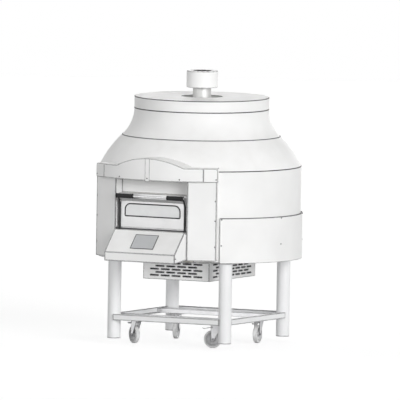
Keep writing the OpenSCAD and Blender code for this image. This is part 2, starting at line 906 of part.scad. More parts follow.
module mouth_lining() {
    front = mouth_y + skin_t + seat;
    slab_w = 2 * lining_x / lining_count;
    color("tan") on_drum() difference() {
        union() {
            for (x = [-lining_x : slab_w : lining_x - slab_w]) {
                block([x, front, sill_z - lining_t], [x + slab_w - seat, 0, sill_z - seat]);
                block([x, front, sill_z + mouth_h + seat], [x + slab_w - seat, 0, lining_z]);
            }
            for (x = [-lining_x, mouth_w / 2])
                block([x, front, sill_z], [x + lining_t, 0, sill_z + mouth_h]);
        }
        cylinder(r = hearth_r + turn_gap, h = band_top);
        block([-lining_x - cut, -drum_r - 2 * mouth_out, 0],
            [lining_x + cut, lintel_y, console_sill + skin_t + 2 * seat]);
    }
}

module mouth_frame() {
    x = lining_x + skin_t + seat;
    low = console_sill + seat;
    high = lining_z + skin_t + seat;
    color("silver") on_drum() difference() {
        block([-x, mouth_y, low], [x, lintel_y - seat, high]);
        block([-x + skin_t, mouth_y + skin_t, low + skin_t], [x - skin_t, 0, high - skin_t]);
        block([-mouth_w / 2, mouth_y - cut, sill_z], [mouth_w / 2, 0, sill_z + mouth_h]);
    }
}

// Console

module console_housing() {
    w = console_w;
    color("white") on_drum() difference() {
        along_x(w) polygon(console_profile);
        along_x(w - 2 * skin_t) {
            polygon(inset(console_profile, skin_t));
            translate([console_back - cut, console_floor + skin_t])
                square([2 * cut, console_sill - console_floor - 2 * skin_t]);
        }
    }
}

// Puts a piece on the middle of the console's slope, +Z out of it
module on_slope() {
    mid = (slope_foot + slope_head) / 2;
    translate([0, mid[0], mid[1]]) rotate([slope_angle, 0, 0]) children();
}

module display_bezel() {
    b = bezel_t;
    color("dimgray") on_drum() on_slope() difference() {
        block([-display_w / 2, -display_l / 2, seat], [display_w / 2, display_l / 2, b]);
        block([-display_w / 2 + b, -display_l / 2 + b, b / 2], [display_w / 2 - b, display_l / 2 - b, 2 * b]);
    }
}

module display_screen() {
    half = [display_w / 2, display_l / 2] - [bezel_t + seat, bezel_t + seat];
    color("darkgray") on_drum() on_slope()
        block([-half[0], -half[1], bezel_t / 2 + seat], [half[0], half[1], bezel_t * screen_share]);
}

// Door

// Outline of the window, grown by t
module window(t) {
    w = window_w / 2 + t;
    z0 = door_z + window_lift - t;
    z1 = door_z + window_lift + window_h + t;
    top = window_top_r + t;
    foot = window_foot_r + t;
    polygon(concat(
        arc_points([w - foot, z0 + foot], foot, -90, 0, 6),
        arc_points([w - top, z1 - top], top, 0, 90, 12),
        arc_points([top - w, z1 - top], top, 90, 180, 12),
        arc_points([foot - w, z0 + foot], foot, 180, 270, 6)));
}

module door_panel() {
    w = door_w / 2;
    lean = [-flange_run, flange_rise] / norm([flange_run, flange_rise]);
    foot = [door_y, door_z + door_h];
    tip = foot + [-flange_run, flange_rise];
    side = [lean[1], -lean[0]] * skin_t;
    color("whitesmoke") on_drum() {
        along_y(door_y, skin_t) difference() {
            translate([-w, door_z]) square([2 * w, door_h]);
            window(0);
        }
        along_x(2 * w) polygon([foot, foot + [skin_t, 0], foot + [skin_t, skin_t], tip + side, tip]);
    }
}

module door_seal() {
    color("black") on_drum() along_y(door_y - skin_t * 2 / 3, skin_t * 5 / 3 - seat) difference() {
        window(-seat);
        window(-seal_w);
    }
}

module door_glass() {
    color("lightblue", 0.4) on_drum() along_y(door_y + skin_t + seat, glass_t) window(glass_lap);
}

module door_liner() {
    w = door_w / 2 - skin_t;
    color("silver") on_drum() difference() {
        along_y(door_y + skin_t + seat / 2, door_t - skin_t - seat / 2) difference() {
            translate([-w, door_z + skin_t]) square([2 * w, door_h - skin_t]);
            window(-seal_w);
        }
        along_y(door_y, skin_t + glass_t + 2 * seat) window(glass_lap + seat);
    }
}

module handle_bar() {
    color("silver") on_drum() translate([0, handle_y, handle_z]) rotate([0, 90, 0])
        cylinder(r = handle_r, h = door_w + 2 * arm_t + grip_r, center = true);
}

module handle_grips() {
    inner = door_w / 2 - seat;
    outer = door_w / 2 + arm_t + seat;
    color("black") on_drum() translate([0, handle_y, handle_z]) rotate([0, 90, 0])
        for (s = [0, 1]) mirror([0, 0, s]) {
            ring(grip_r, handle_r + seat, inner - grip_l, inner);
            ring(grip_r, handle_r + seat, outer, outer + handle_r);
        }
}

// One arm of the door in the Y-Z plane: an eye on the hinge rod, a straight, and a bend to the handle
module arm_outline() {
    bend_z = handle_z - arm_bend_rise;
    centre = [arm_y - arm_bend_r, bend_z];
    difference() {
        union() {
            translate([hinge_y, hinge_z]) circle(r = hinge_r * 2);
            polygon([[arm_y - arm_w / 2, hinge_z], [arm_y + arm_w / 2, hinge_z],
                [arm_y + arm_w / 2, bend_z], [arm_y - arm_w / 2, bend_z]]);
            intersection() {
                difference() {
                    translate(centre) circle(r = arm_bend_r + arm_w / 2);
                    translate(centre) circle(r = arm_bend_r - arm_w / 2);
                }
                polygon([centre, centre + [2 * arm_bend_r, 0],
                    centre + 2 * arm_bend_r * [cos(arm_bend_angle / 2), sin(arm_bend_angle / 2)],
                    centre + 2 * arm_bend_r * [cos(arm_bend_angle), sin(arm_bend_angle)]]);
            }
            translate([handle_y, handle_z]) circle(r = arm_boss_r);
        }
        translate([hinge_y, hinge_z]) circle(r = hinge_r + running);
        translate([handle_y, handle_z]) circle(r = handle_r + seat);
    }
}

module door_arms() {
    color("black") on_drum() for (s = [-1, 1])
        translate([s * (door_w + arm_t) / 2, 0, 0]) along_x(arm_t) arm_outline();
}

module hinge_rod() {
    w = portal_w - 2 * seat;
    color("dimgray") on_drum() translate([0, hinge_y, hinge_z]) rotate([0, 90, 0]) {
        cylinder(r = hinge_r, h = w, center = true);
        for (s = [0, 1]) mirror([0, 0, s]) translate([0, 0, (w - hinge_r) / 2])
            cylinder(r = hinge_r * 2, h = hinge_r / 2);
    }
}

// Hearth and drive

// A ring cut into n equal blocks with a joint between each, from a profile drawn on the +X side
module blocks(n, r, first) {
    gap = asin(joint_w / r);
    step = 360 / n;
    for (i = [0 : n - 1]) rotate([0, 0, first + i * step]) rotate_extrude(angle = step - gap) children();
}

module hearth_stones() {
    core = hearth_r * core_share;
    color("burlywood") on_drum() {
        blocks(stone_count, hearth_r, 0) translate([core, hearth_z - stone_t])
            square([hearth_r - core, stone_t]);
        translate([0, 0, hearth_z - stone_t]) cylinder(r = core - joint_w, h = stone_t);
    }
}

module turntable_frame() {
    rib_z = bed_top + turn_gap;
    color("silver") on_drum() {
        translate([0, 0, carrier_z]) cylinder(r = hearth_r - carrier_t, h = carrier_t);
        translate([0, 0, housing_top + seat]) cylinder(r = hub_r - turn_gap, h = carrier_z - housing_top);
        translate([0, 0, shaft_foot]) cylinder(r = shaft_r, h = carrier_z - shaft_foot);
        for (i = [1 : rib_count]) rotate([0, 0, i * 360 / rib_count])
            block([0, -carrier_t / 2, rib_z],
                [hearth_r - 5 * carrier_t, carrier_t / 2, carrier_z + carrier_t / 2]);
    }
}

// Outline of a spur gear with straight flanks and a little backlash
module gear_outline(teeth, turn) {
    pitch = gear_module * teeth / 2;
    tip = pitch + gear_module * tooth_tip_share;
    root = pitch - gear_module * tooth_root_share;
    radii = [root, pitch, tip];
    // Corners of a tooth, from its left root over its tip to its right root
    polygon([for (i = [0 : teeth - 1], k = [-3, -2, -1, 1, 2, 3])
        let (n = 3 - abs(k), a = turn + (i + sign(k) * tooth_half_shares[n]) * 360 / teeth)
        radii[n] * [cos(a), sin(a)]]);
}

module ring_gear() {
    color("gray") on_drum() translate([0, 0, gear_z]) difference() {
        linear_extrude(gear_t) gear_outline(gear_teeth, 0);
        translate([0, 0, -cut]) cylinder(r = shaft_r + seat, h = gear_t + 2 * cut);
    }
}

module on_motor() {
    on_drum() translate([gear_pitch_r + pinion_pitch_r, 0, 0]) children();
}

module pinion() {
    color("gray") on_motor() {
        translate([0, 0, gear_z]) linear_extrude(gear_t)
            gear_outline(pinion_teeth, 180 + 180 / pinion_teeth);
        translate([0, 0, gear_z]) cylinder(r = pinion_shaft_r, h = motor_z + motor_w / 2 - gear_z);
    }
}

module gear_motor() {
    can_r = motor_w * motor_can_share;
    can_x = vent_w / 2 - gear_pitch_r - pinion_pitch_r - 2 * turn_gap;
    color("steelblue") on_motor() difference() {
        union() {
            block([-motor_w / 2, -motor_w / 2, motor_z], [motor_w / 2, motor_w / 2, deck_z]);
            translate([0, 0, motor_z + can_r + turn_gap]) rotate([0, 90, 0]) cylinder(r = can_r, h = can_x);
        }
        translate([0, 0, motor_z - cut]) cylinder(r = pinion_shaft_r + running, h = motor_w / 2 + 2 * cut);
    }
}

module bearing_housing() {
    color("gray") on_drum() {
        ring(hub_r, shaft_r + running, housing_foot, housing_top);
        ring(housing_flange_r, hub_r - carrier_t / 2, deck_top, deck_top + carrier_t);
    }
}

// What is left free in the masonry for the mouth's lining
module lining_space() {
    x = lining_x + joint_w / 2;
    block([-x, -2 * drum_r, sill_z - lining_t - joint_w / 2], [x, -hearth_r / 2, lining_z + joint_w / 2]);
}

module gas_pipe_space() {
    translate([0, burner_y, 0]) cylinder(r = gas_pipe_r + joint_w / 2, h = burner_z + cut);
}

module wall_bricks() {
    step = 360 / brick_count;
    color("sandybrown") on_drum() difference() {
        for (k = [0 : 2]) blocks(brick_count, wall_r, step / 2)
            translate([wall_r, courses[k]]) square([brick_t, courses[k + 1] - courses[k] - seat]);
        lining_space();
        gas_pipe_space();
        block([-burner_l / 2 - joint_w, wall_r - cut, burner_z - joint_w / 2],
            [burner_l / 2 + joint_w, burner_y + burner_h / 2 + joint_w, burner_z + burner_h + joint_w]);
    }
}

// Section of one ring of the dome, between two angles from its upright axis
module dome_section(a, b) {
    intersection() {
        difference() {
            translate(dome_centre) circle(r = dome_arc_r + brick_t);
            translate(dome_centre) circle(r = dome_arc_r);
            translate([0, dome_arc_z + dome_arc_r]) square([flue_r + seat, 2 * brick_t]);
        }
        translate([flue_bore_r, wall_z1 + seat])
            square([wall_out_r - flue_bore_r, 2 * brick_t + brick_rise]);
        arc_window(dome_centre, dome_centre + dome_arc_r * [sin(a), cos(a)],
            dome_centre + dome_arc_r * [sin(b), cos(b)]);
    }
}

module dome_bricks() {
    seat_angle = asin(seat / dome_arc_r);
    color("sandybrown") on_drum() blocks(block_count, wall_r, 0) {
        dome_section(0, dome_joint_angle - seat_angle);
        dome_section(dome_joint_angle, dome_edge_angle);
    }
}

// Section of the filling over the brick dome, up to the hood's skins
module hood_filling() {
    gap = skin_t + seat;
    inner = top_hole_r + 3 * flue_wall;
    difference() {
        union() {
            intersection() {
                translate(lower_centre) circle(r = lower_arc_r - gap);
                translate([inner, band_top + seat])
                    square([drum_r - gap - inner, turn_z - band_top - gap]);
            }
            difference() {
                translate([inner, turn_z + gap])
                    square([turn_r - gap - inner, neck_z - turn_z - 3 * gap]);
                translate(upper_centre) circle(r = upper_arc_r + gap);
            }
        }
        translate([0, dome_arc_z]) circle(r = dome_arc_r + brick_t + joint_w);
    }
}

module insulation() {
    inner = wall_out_r + seat;
    outer = drum_r - skin_t - 2 * seat;
    bed_in = housing_flange_r + turn_gap;
    plan = inset(column_plan, skin_t + seat);
    tiers = [deck_top + seat, courses[1], courses[2], band_top];
    color("beige") on_drum() {
        difference() {
            for (k = [0 : 2]) blocks(block_count, inner, 180 / block_count)
                translate([inner, tiers[k]]) square([outer - inner, tiers[k + 1] - tiers[k] - seat]);
            lining_space();
            recess_space();
        }
        difference() {
            blocks(block_count, inner, 0) translate([bed_in, deck_top + seat])
                square([wall_out_r - bed_in, bed_top - deck_top - 2 * seat]);
            gas_pipe_space();
        }
        blocks(block_count, inner, 0) hood_filling();
        for (s = [0, 1]) mirror([s, 0, 0]) difference() {
            translate([0, 0, column_z + seat]) linear_extrude(header_z - column_z) polygon(plan);
            cylinder(r = drum_r + seat, h = cap_top);
        }
        header_filling();
    }
}

// The recess in front of the panel over the mouth, down to the deck
module recess_space() {
    x = portal_w / 2 + skin_t + 2 * seat;
    block([-x, -2 * drum_r, deck_z], [x, lintel_y + skin_t + seat, header_z + stiffener_h + seat]);
}

// Blocks behind the header, between the columns and under the roof
module header_filling() {
    x = portal_w / 2 - seat;
    step = 2 * header_angle / filling_count;
    gap = asin(seat / turn_r);
    difference() {
        for (i = [0 : filling_count - 1]) intersection() {
            ring_part(header_r - skin_t - 2 * seat, turn_r, header_z + 2 * seat, header_top + arch_rise,
                i * step - header_angle + gap, (i + 1) * step - header_angle - gap);
            along_y(-header_r - cut, header_r) header_outline(skin_t + 2 * seat);
            block([-x, -2 * header_r, 0], [x, 0, neck_z]);
        }
        drum_body(seat);
    }
}

// Vent box

// Wall of the vent box as a flat outline with staggered slots, w wide
module vent_wall_outline(w) {
    pitch = slot_l * slot_pitch_share;
    row = slot_h * slot_row_share;
    n = floor((w - 2 * vent_wall - slot_l) / pitch);
    difference() {
        translate([-w / 2, 0]) square([w, vent_h]);
        for (j = [0 : slot_row_count - 1]) {
            k = n - j % 2;
            z = slot_h * slot_first_share + j * row;
            for (i = [0 : k - 1]) translate([(i - (k - 1) / 2) * pitch, z]) {
                square([slot_l - slot_h, slot_h], center = true);
                for (s = [-1, 1]) translate([s * (slot_l - slot_h) / 2, 0]) circle(d = slot_h);
            }
        }
    }
}

module vent_box() {
    z = deck_z - vent_h;
    color("white") on_drum() difference() {
        union() {
            for (turn = [0, 180]) rotate([0, 0, turn]) {
                translate([0, -vent_l / 2, z]) along_y(0, vent_wall) vent_wall_outline(vent_w);
                rotate([0, 0, 90]) translate([0, -vent_w / 2, z])
                    along_y(0, vent_wall) vent_wall_outline(vent_l);
            }
            block([-vent_w / 2, -vent_l / 2, z], [vent_w / 2, vent_l / 2, z + vent_wall]);
        }
        translate([gland_x, vent_l / 2 - cut, gland_z]) rotate([-90, 0, 0])
            cylinder(r = gland_bore_r, h = 2 * cut);
    }
}

module cable_gland() {
    color("black") on_drum() translate([gland_x, vent_l / 2 + seat, gland_z]) rotate([-90, 0, 0])
        difference() {
            union() {
                cylinder(r = gland_r, h = gland_l);
                cylinder(r = gland_r * gland_nut_share, h = gland_l / 4, $fn = 6);
            }
            translate([0, 0, -cut]) cylinder(r = gland_bore_r, h = gland_l + 2 * cut);
        }
}

// The burner's block, its gas pipe, and the stub under the deck that takes the supply
module burner() {
    top = burner_z + burner_h;
    color("dimgray") on_drum() {
        block([-burner_l / 2, burner_y - burner_h / 2, burner_z],
            [burner_l / 2, burner_y + burner_h / 2, top]);
        translate([0, burner_y, deck_z]) cylinder(r = gas_pipe_r, h = burner_z - deck_z + stiffener_h);
        translate([0, burner_y, deck_z - stiffener_h]) cylinder(r = gas_stub_r, h = 2 * stiffener_h);
    }
}

legs();
shelf_rails();
caster_bearers();
caster_plates();
caster_fork(0);  // front_left_fork
caster_fork(1);  // front_right_fork
caster_fork(2);  // rear_left_fork
caster_fork(3);  // rear_right_fork
caster_wheel(0);  // front_left_wheel
caster_wheel(1);  // front_right_wheel
caster_wheel(2);  // rear_left_wheel
caster_wheel(3);  // rear_right_wheel
caster_tyre(0);  // front_left_tyre
caster_tyre(1);  // front_right_tyre
caster_tyre(2);  // rear_left_tyre
caster_tyre(3);  // rear_right_tyre
caster_brake(0);  // front_left_brake
caster_brake(1);  // front_right_brake
caster_brake(2);  // rear_left_brake
caster_brake(3);  // rear_right_brake
deck_plate();
skirt();
drum_band();
lower_hood();
upper_hood();
top_cap();
flue_pipe();
flue_cap();
body_screws();
left_column();
right_column();
header_panels();
header_strip();
portal_roof();
lintel_panel();
mouth_frame();
mouth_lining();
console_housing();
display_bezel();
display_screen();
door_panel();
door_seal();
door_glass();
door_liner();
handle_bar();
handle_grips();
door_arms();
hinge_rod();
hearth_stones();
turntable_frame();
ring_gear();
pinion();
gear_motor();
bearing_housing();
wall_bricks();
dome_bricks();
insulation();
vent_box();
cable_gland();
burner();
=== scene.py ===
# %% [markdown]
# # A rotating pizza oven
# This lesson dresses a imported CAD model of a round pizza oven: every visible sheet, tube, wheel and
# brick gets its rounded edges, its small fittings and its own finish. The CAD nodes stay where they
# are. A new piece takes its size and place from the node that it stands for.

# %% Load the frame
import json
from math import atan2, cos, radians, sin, sqrt

import bmesh
import bpy
from mathutils import Matrix, Vector

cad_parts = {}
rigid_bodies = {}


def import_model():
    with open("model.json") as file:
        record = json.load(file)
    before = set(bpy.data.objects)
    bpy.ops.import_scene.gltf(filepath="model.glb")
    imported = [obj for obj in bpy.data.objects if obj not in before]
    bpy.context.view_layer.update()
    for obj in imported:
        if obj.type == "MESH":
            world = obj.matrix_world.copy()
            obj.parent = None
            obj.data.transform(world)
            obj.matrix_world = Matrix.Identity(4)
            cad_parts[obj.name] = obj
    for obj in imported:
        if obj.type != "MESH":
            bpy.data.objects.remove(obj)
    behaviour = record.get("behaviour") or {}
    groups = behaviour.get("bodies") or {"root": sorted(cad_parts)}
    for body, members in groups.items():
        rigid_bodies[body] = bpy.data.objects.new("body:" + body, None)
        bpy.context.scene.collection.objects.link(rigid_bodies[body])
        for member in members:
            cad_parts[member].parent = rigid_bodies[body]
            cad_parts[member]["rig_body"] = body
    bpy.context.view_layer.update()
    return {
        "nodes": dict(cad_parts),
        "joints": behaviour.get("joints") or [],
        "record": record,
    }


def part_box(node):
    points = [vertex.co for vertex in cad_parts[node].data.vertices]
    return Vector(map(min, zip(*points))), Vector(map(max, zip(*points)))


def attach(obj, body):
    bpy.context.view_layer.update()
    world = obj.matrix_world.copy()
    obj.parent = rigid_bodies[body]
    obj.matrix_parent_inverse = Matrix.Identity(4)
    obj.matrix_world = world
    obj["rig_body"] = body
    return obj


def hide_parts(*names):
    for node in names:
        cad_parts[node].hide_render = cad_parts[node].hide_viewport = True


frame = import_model()
nodes = frame["nodes"]
slot_of = {row["node"]: row["material_slot"] for row in frame["record"]["subparts"]}
body_of = {name: node["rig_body"] for name, node in nodes.items()}

# %% [markdown]
# ## Working by hand, in code
# An operator acts on all that is selected, so each step first selects one object alone. In edit mode
# the faces, edges or points to work on are then picked by their place. Short helpers do this, so that
# each later cell reads as a list of modelling steps.

# %% Selecting and editing
def only(piece):
    """Select and activate one object, and nothing else."""
    bpy.ops.object.select_all(action="DESELECT")
    piece.select_set(True)
    bpy.context.view_layer.objects.active = piece


def select_all():
    """In edit mode, select the whole mesh."""
    bpy.ops.mesh.select_all(action="SELECT")


def open_mesh(piece):
    """Enter edit mode on one piece, with all of it selected."""
    only(piece)
    bpy.ops.object.mode_set(mode="EDIT")
    select_all()


def close_mesh():
    """Leave edit mode."""
    bpy.ops.object.mode_set(mode="OBJECT")


def pick(piece, wanted):
    """In edit mode, select the faces whose middle and normal pass a test."""
    bpy.ops.mesh.select_mode(type="FACE")
    bpy.ops.mesh.select_all(action="DESELECT")
    mesh = bmesh.from_edit_mesh(piece.data)
    for face in mesh.faces:
        if wanted(face.calc_center_median(), face.normal):
            face.select_set(True)
    bmesh.update_edit_mesh(piece.data)


def place(piece, matrix):
    """Move a piece by a matrix and apply the move, so that its object stays at the origin."""
    only(piece)
    piece.matrix_world = matrix @ piece.matrix_world
    bpy.ops.object.transform_apply(location=True, rotation=True, scale=True)


def join(name, pieces):
    """Join several objects into one."""
    bpy.ops.object.select_all(action="DESELECT")
    for piece in pieces:
        piece.select_set(True)
    bpy.context.view_layer.objects.active = pieces[0]
    bpy.ops.object.join()
    pieces[0].name = name
    return pieces[0]


def copy_of(piece, matrix):
    """A copy with its own mesh, moved by a matrix."""
    only(piece)
    bpy.ops.object.duplicate()
    twin = bpy.context.object
    place(twin, matrix)
    return twin


print("editing helpers")


# %% [markdown]
# ## Rounded edges
# No folded sheet or sawn block has a knife edge, and a render shows it: a rounded edge catches a thin
# line of light. A Bevel modifier limited by angle rounds the true edges and leaves curved walls
# alone. It is applied at once, and normals weighted by area then keep the large faces flat.

# %% Rounding and smoothing
def round_edges(piece, width, segments=2, angle=32):
    """Round every edge sharper than an angle, and let the large faces keep their own shading."""
    only(piece)
    bevel = piece.modifiers.new("rounding", "BEVEL")
    bevel.width = width
    bevel.segments = segments
    bevel.limit_method = "ANGLE"
    bevel.angle_limit = radians(angle)
    bpy.ops.object.modifier_apply(modifier=bevel.name)
    bpy.ops.object.shade_smooth_by_angle(angle=radians(angle))
    even = piece.modifiers.new("even shading", "WEIGHTED_NORMAL")
    even.keep_sharp = True
    bpy.ops.object.modifier_apply(modifier=even.name)
    return piece


MERGE = 0.00002


def softened(node, width, segments=2):
    """A copy of a CAD node, merged to whole faces and with its edges rounded."""
    only(nodes[node])
    bpy.ops.object.duplicate()
    piece = bpy.context.object
    bpy.ops.object.parent_clear(type="CLEAR_KEEP_TRANSFORM")
    for key in list(piece.keys()):
        del piece[key]
    piece.name = node + "_form"
    piece.data.materials.clear()
    open_mesh(piece)
    bpy.ops.mesh.remove_doubles(threshold=MERGE)
    bpy.ops.mesh.dissolve_limited(angle_limit=radians(0.4))
    close_mesh()
    return round_edges(piece, width, segments)


print("points closer than", MERGE, "m are merged")


# %% [markdown]
# ## Turned pieces
# The drum, the hood, the flue, the legs and the wheels are round. On a lathe, a tool follows an outline
# while the work turns. Here a point is extruded along the outline, and the closed outline is spun. A
# spin can stop short of a full turn, as the skirt does at the portal. Its angle counts clockwise seen
# from above, hence the minus sign.

# %% Outlines and spins
def pull(step):
    """In edit mode, extrude what is selected by a step."""
    bpy.ops.mesh.extrude_region_move(TRANSFORM_OT_translate={"value": step})


def draw_outline(name, points):
    """Extrude one point from place to place, and close the chain to a loop of edges."""
    bpy.ops.mesh.primitive_plane_add(size=0.01)
    piece = bpy.context.object
    piece.name = name
    bpy.ops.object.mode_set(mode="EDIT")
    bpy.ops.mesh.select_mode(type="VERT")
    bpy.ops.mesh.merge(type="CENTER")
    bpy.ops.transform.translate(value=points[0])
    for here, there in zip(points, points[1:]):
        pull(there - here)
    select_all()
    bpy.ops.mesh.edge_face_add()
    bpy.ops.mesh.delete(type="ONLY_FACE")
    return piece


def turned(name, profile, steps=96, start=0.0, sweep=360.0):
    """Spin a closed outline of (radius, height) points round the upright axis at the origin."""
    angle = radians(start)
    outward = Vector((sin(angle), -cos(angle), 0))
    piece = draw_outline(name, [outward * r + Vector((0, 0, z)) for r, z in profile])
    select_all()
    bpy.ops.mesh.spin(steps=steps, angle=-radians(sweep), center=(0, 0, 0), axis=(0, 0, 1))
    select_all()
    bpy.ops.mesh.remove_doubles(threshold=MERGE)
    if sweep < 360:
        bpy.ops.mesh.fill_holes(sides=0)
    bpy.ops.mesh.normals_make_consistent(inside=False)
    close_mesh()
    return piece


def arc(centre, radius, first, last, count):
    """Points on an arc, from one angle to another in degrees."""
    angles = [radians(first + (last - first) * i / count) for i in range(count + 1)]
    return [(centre[0] + radius * cos(a), centre[1] + radius * sin(a)) for a in angles]


print("outlines, arcs and spins")


# %% [markdown]
# ## Wiring shader nodes
# A finish is a small network of shader nodes. One helper adds a node, sets it up, and takes for each
# input either a number or the output of another node, so a whole network reads from top to bottom.

# %% Node helpers
def add(tree, kind, inputs=None, **settings):
    """Add a shader node with its settings, and feed its inputs with numbers or with other outputs."""
    node = tree.nodes.new("ShaderNode" + kind)
    for key, value in settings.items():
        setattr(node, key, value)
    for key, value in (inputs or {}).items():
        if isinstance(value, bpy.types.NodeSocket):
            tree.links.new(value, node.inputs[key])
        else:
            node.inputs[key].default_value = value
    return node


def sums(tree, operation, a, b):
    """The result of one Math node."""
    return add(tree, "Math", {0: a, 1: b}, operation=operation).outputs[0]


def spread(tree, value, low, high, new_low=0.0, new_high=1.0):
    """Map a value from one range to another, and hold it inside."""
    ends = {"Value": value, "From Min": low, "From Max": high, "To Min": new_low, "To Max": new_high}
    return add(tree, "MapRange", ends).outputs[0]


def blend(tree, mask, colour, other):
    """Mix two colours by a mask."""
    ends = [c if isinstance(c, bpy.types.NodeSocket) else (*c, 1.0) for c in (colour, other)]
    return add(tree, "Mix", {0: mask, 6: ends[0], 7: ends[1]}, data_type="RGBA").outputs[2]


def effect(name, inputs, output):
    """Start a node group with number inputs and one output. Gives its tree, inputs and output."""
    tree = bpy.data.node_groups.new(name, "ShaderNodeTree")
    for label, value in inputs.items():
        socket = tree.interface.new_socket(label, in_out="INPUT", socket_type="NodeSocketFloat")
        socket.default_value = value
    tree.interface.new_socket(output, in_out="OUTPUT", socket_type="NodeSocketFloat")
    start = tree.nodes.new("NodeGroupInput")
    end = tree.nodes.new("NodeGroupOutput")
    return tree, start.outputs, end.inputs[0]


def use(tree, group, **values):
    """Place a group in a material with its own values, and give its output."""
    node = tree.nodes.new("ShaderNodeGroup")
    node.node_tree = group
    for label, value in values.items():
        node.inputs[label.capitalize()].default_value = value
    return node.outputs[0]


print("shader nodes and groups")


# %% [markdown]
# ## Effects that several finishes share
# Each effect is a node group. **Mottle** is a soft, even unevenness: at 3 mm it is the orange peel of
# powder coat, and at 300 mm the slow change of tone over a sheet. **Brushing** stretches the same
# noise along X or Z into the fine lines of brushed steel. All of them read Object coordinates.

# %% Mottle and brushing
def noise(tree, scale, detail, where=None):
    """Noise over Object coordinates, or over others that are given."""
    if where is None:
        where = add(tree, "TexCoord").outputs["Object"]
    return add(tree, "TexNoise", {"Vector": where, "Scale": scale, "Detail": detail}).outputs[0]


mottle, given, result = effect("Mottle", {"Size": 0.1, "Detail": 2.0}, "Value")
fineness = sums(mottle, "DIVIDE", 1.0, given["Size"])
mottle.links.new(noise(mottle, fineness, given["Detail"]), result)

ACROSS, ALONG = 1500.0, 12.0
brushing, given, result = effect(
    "Brushing", {"Across": ACROSS, "Along x": ALONG, "Along z": ACROSS}, "Value")
where = add(brushing, "TexCoord").outputs["Object"]
stretch = add(brushing, "CombineXYZ", {0: given["Along x"], 1: given["Across"], 2: given["Along z"]})
lines = add(brushing, "VectorMath", {0: where, 1: stretch.outputs[0]}, operation="MULTIPLY")
brushing.links.new(noise(brushing, 1.0, 3.0, lines.outputs[0]), result)
print("groups:", mottle.name, brushing.name)

# %% [markdown]
# **Edge wear** marks the strip beside a sharp edge, where hands rub the coat thin and dirt settles. A
# Bevel node gives the normal that a rounded edge would have there, and where it differs from the true
# normal an edge is near. It also finds what lies close behind, so sheet that laps over another gets a
# narrower strip. Noise breaks the strip up. **Settled dust** lies on what faces up, in patches.

# %% Edge wear and settled dust
edge_wear, given, result = effect("Edge wear", {"Width": 0.004, "Patches": 0.2}, "Mask")
true_normal = add(edge_wear, "NewGeometry").outputs["Normal"]
soft_normal = add(edge_wear, "Bevel", {"Radius": given["Width"]}, samples=6).outputs[0]
turn = add(edge_wear, "VectorMath", {0: true_normal, 1: soft_normal}, operation="DOT_PRODUCT")
turned_by = sums(edge_wear, "SUBTRACT", 1.0, turn.outputs["Value"])
near = spread(edge_wear, turned_by, 0.003, 0.014)
rubbed = spread(edge_wear, noise(edge_wear, 55.0, 4.0), 0.35, 0.65)
kept = sums(edge_wear, "SUBTRACT", 1.0, sums(edge_wear, "MULTIPLY", rubbed, given["Patches"]))
edge_wear.links.new(sums(edge_wear, "MULTIPLY", near, kept), result)

settled_dust, given, result = effect("Settled dust", {"Amount": 0.3}, "Mask")
normal = add(settled_dust, "NewGeometry").outputs["Normal"]
facing = add(settled_dust, "SeparateXYZ", {0: normal}).outputs[2]
upward = spread(settled_dust, facing, 0.25, 0.95)
patches = spread(settled_dust, noise(settled_dust, 9.0, 6.0), 0.35, 0.7)
lying = sums(settled_dust, "MULTIPLY", upward, patches)
settled_dust.links.new(sums(settled_dust, "MULTIPLY", lying, given["Amount"]), result)
print("groups:", edge_wear.name, settled_dust.name)

# %% [markdown]
# ## Painted sheet
# Powder coat is baked plastic: satin, a little uneven, with the faint dimples called orange peel. One
# function makes it in every colour. White comes three times, since wide free panels and lapped ones
# need other widths of edge wear.

# %% The painted finishes
finishes = {}
WHITE, DARK_EDGE = (0.86, 0.86, 0.855), (0.05, 0.05, 0.055)


def begin(slot, inputs):
    """Start a material, with plain values for some inputs. Gives its tree and its Principled shader."""
    material = bpy.data.materials.new(slot)
    material.use_nodes = True
    finishes[slot] = material
    tree = material.node_tree
    shader = tree.nodes["Principled BSDF"]
    for label, value in inputs.items():
        shader.inputs[label].default_value = value
    return tree, shader


def surface(tree, shader, colour, roughness):
    """Feed the shader's colour and roughness."""
    tree.links.new(colour, shader.inputs["Base Color"])
    tree.links.new(roughness, shader.inputs["Roughness"])


def relief(tree, shader, height, depth, strength=1.0):
    """Feed a height pattern to the shader's normal, with its depth in metres."""
    bump = add(tree, "Bump", {"Height": height, "Distance": depth, "Strength": strength})
    tree.links.new(bump.outputs[0], shader.inputs["Normal"])


def shade(colour, share):
    """A colour at a share of its brightness."""
    return [c * share for c in colour]


def worn_edges(tree, colour, worn, width, wear):
    """A colour that turns to a worn one beside sharp edges."""
    edge = sums(tree, "MULTIPLY", use(tree, edge_wear, width=width), wear)
    return blend(tree, edge, colour, worn)


def patchy(tree, size, detail, *ends):
    """Mottle, spread over a range."""
    return spread(tree, use(tree, mottle, size=size, detail=detail), *ends)


def painted(slot, colour, worn, roughness=0.5, dust=0.12, width=0.009):
    """Powder coat with orange peel, slow tone changes, worn edges and settled dust."""
    tree, shader = begin(slot, {"Specular IOR Level": 0.32})
    slow = patchy(tree, 0.35, 3.0, 0.35, 0.65)
    coat = blend(tree, slow, colour, shade(colour, 0.955))
    coat = blend(tree, use(tree, settled_dust, amount=dust), coat, (0.44, 0.40, 0.34))
    gloss = patchy(tree, 0.06, 4.0, 0.3, 0.7, roughness - 0.07, roughness + 0.09)
    surface(tree, shader, worn_edges(tree, coat, worn, width, 0.95), gloss)
    relief(tree, shader, use(tree, mottle, size=0.003, detail=1.0), 0.00012)


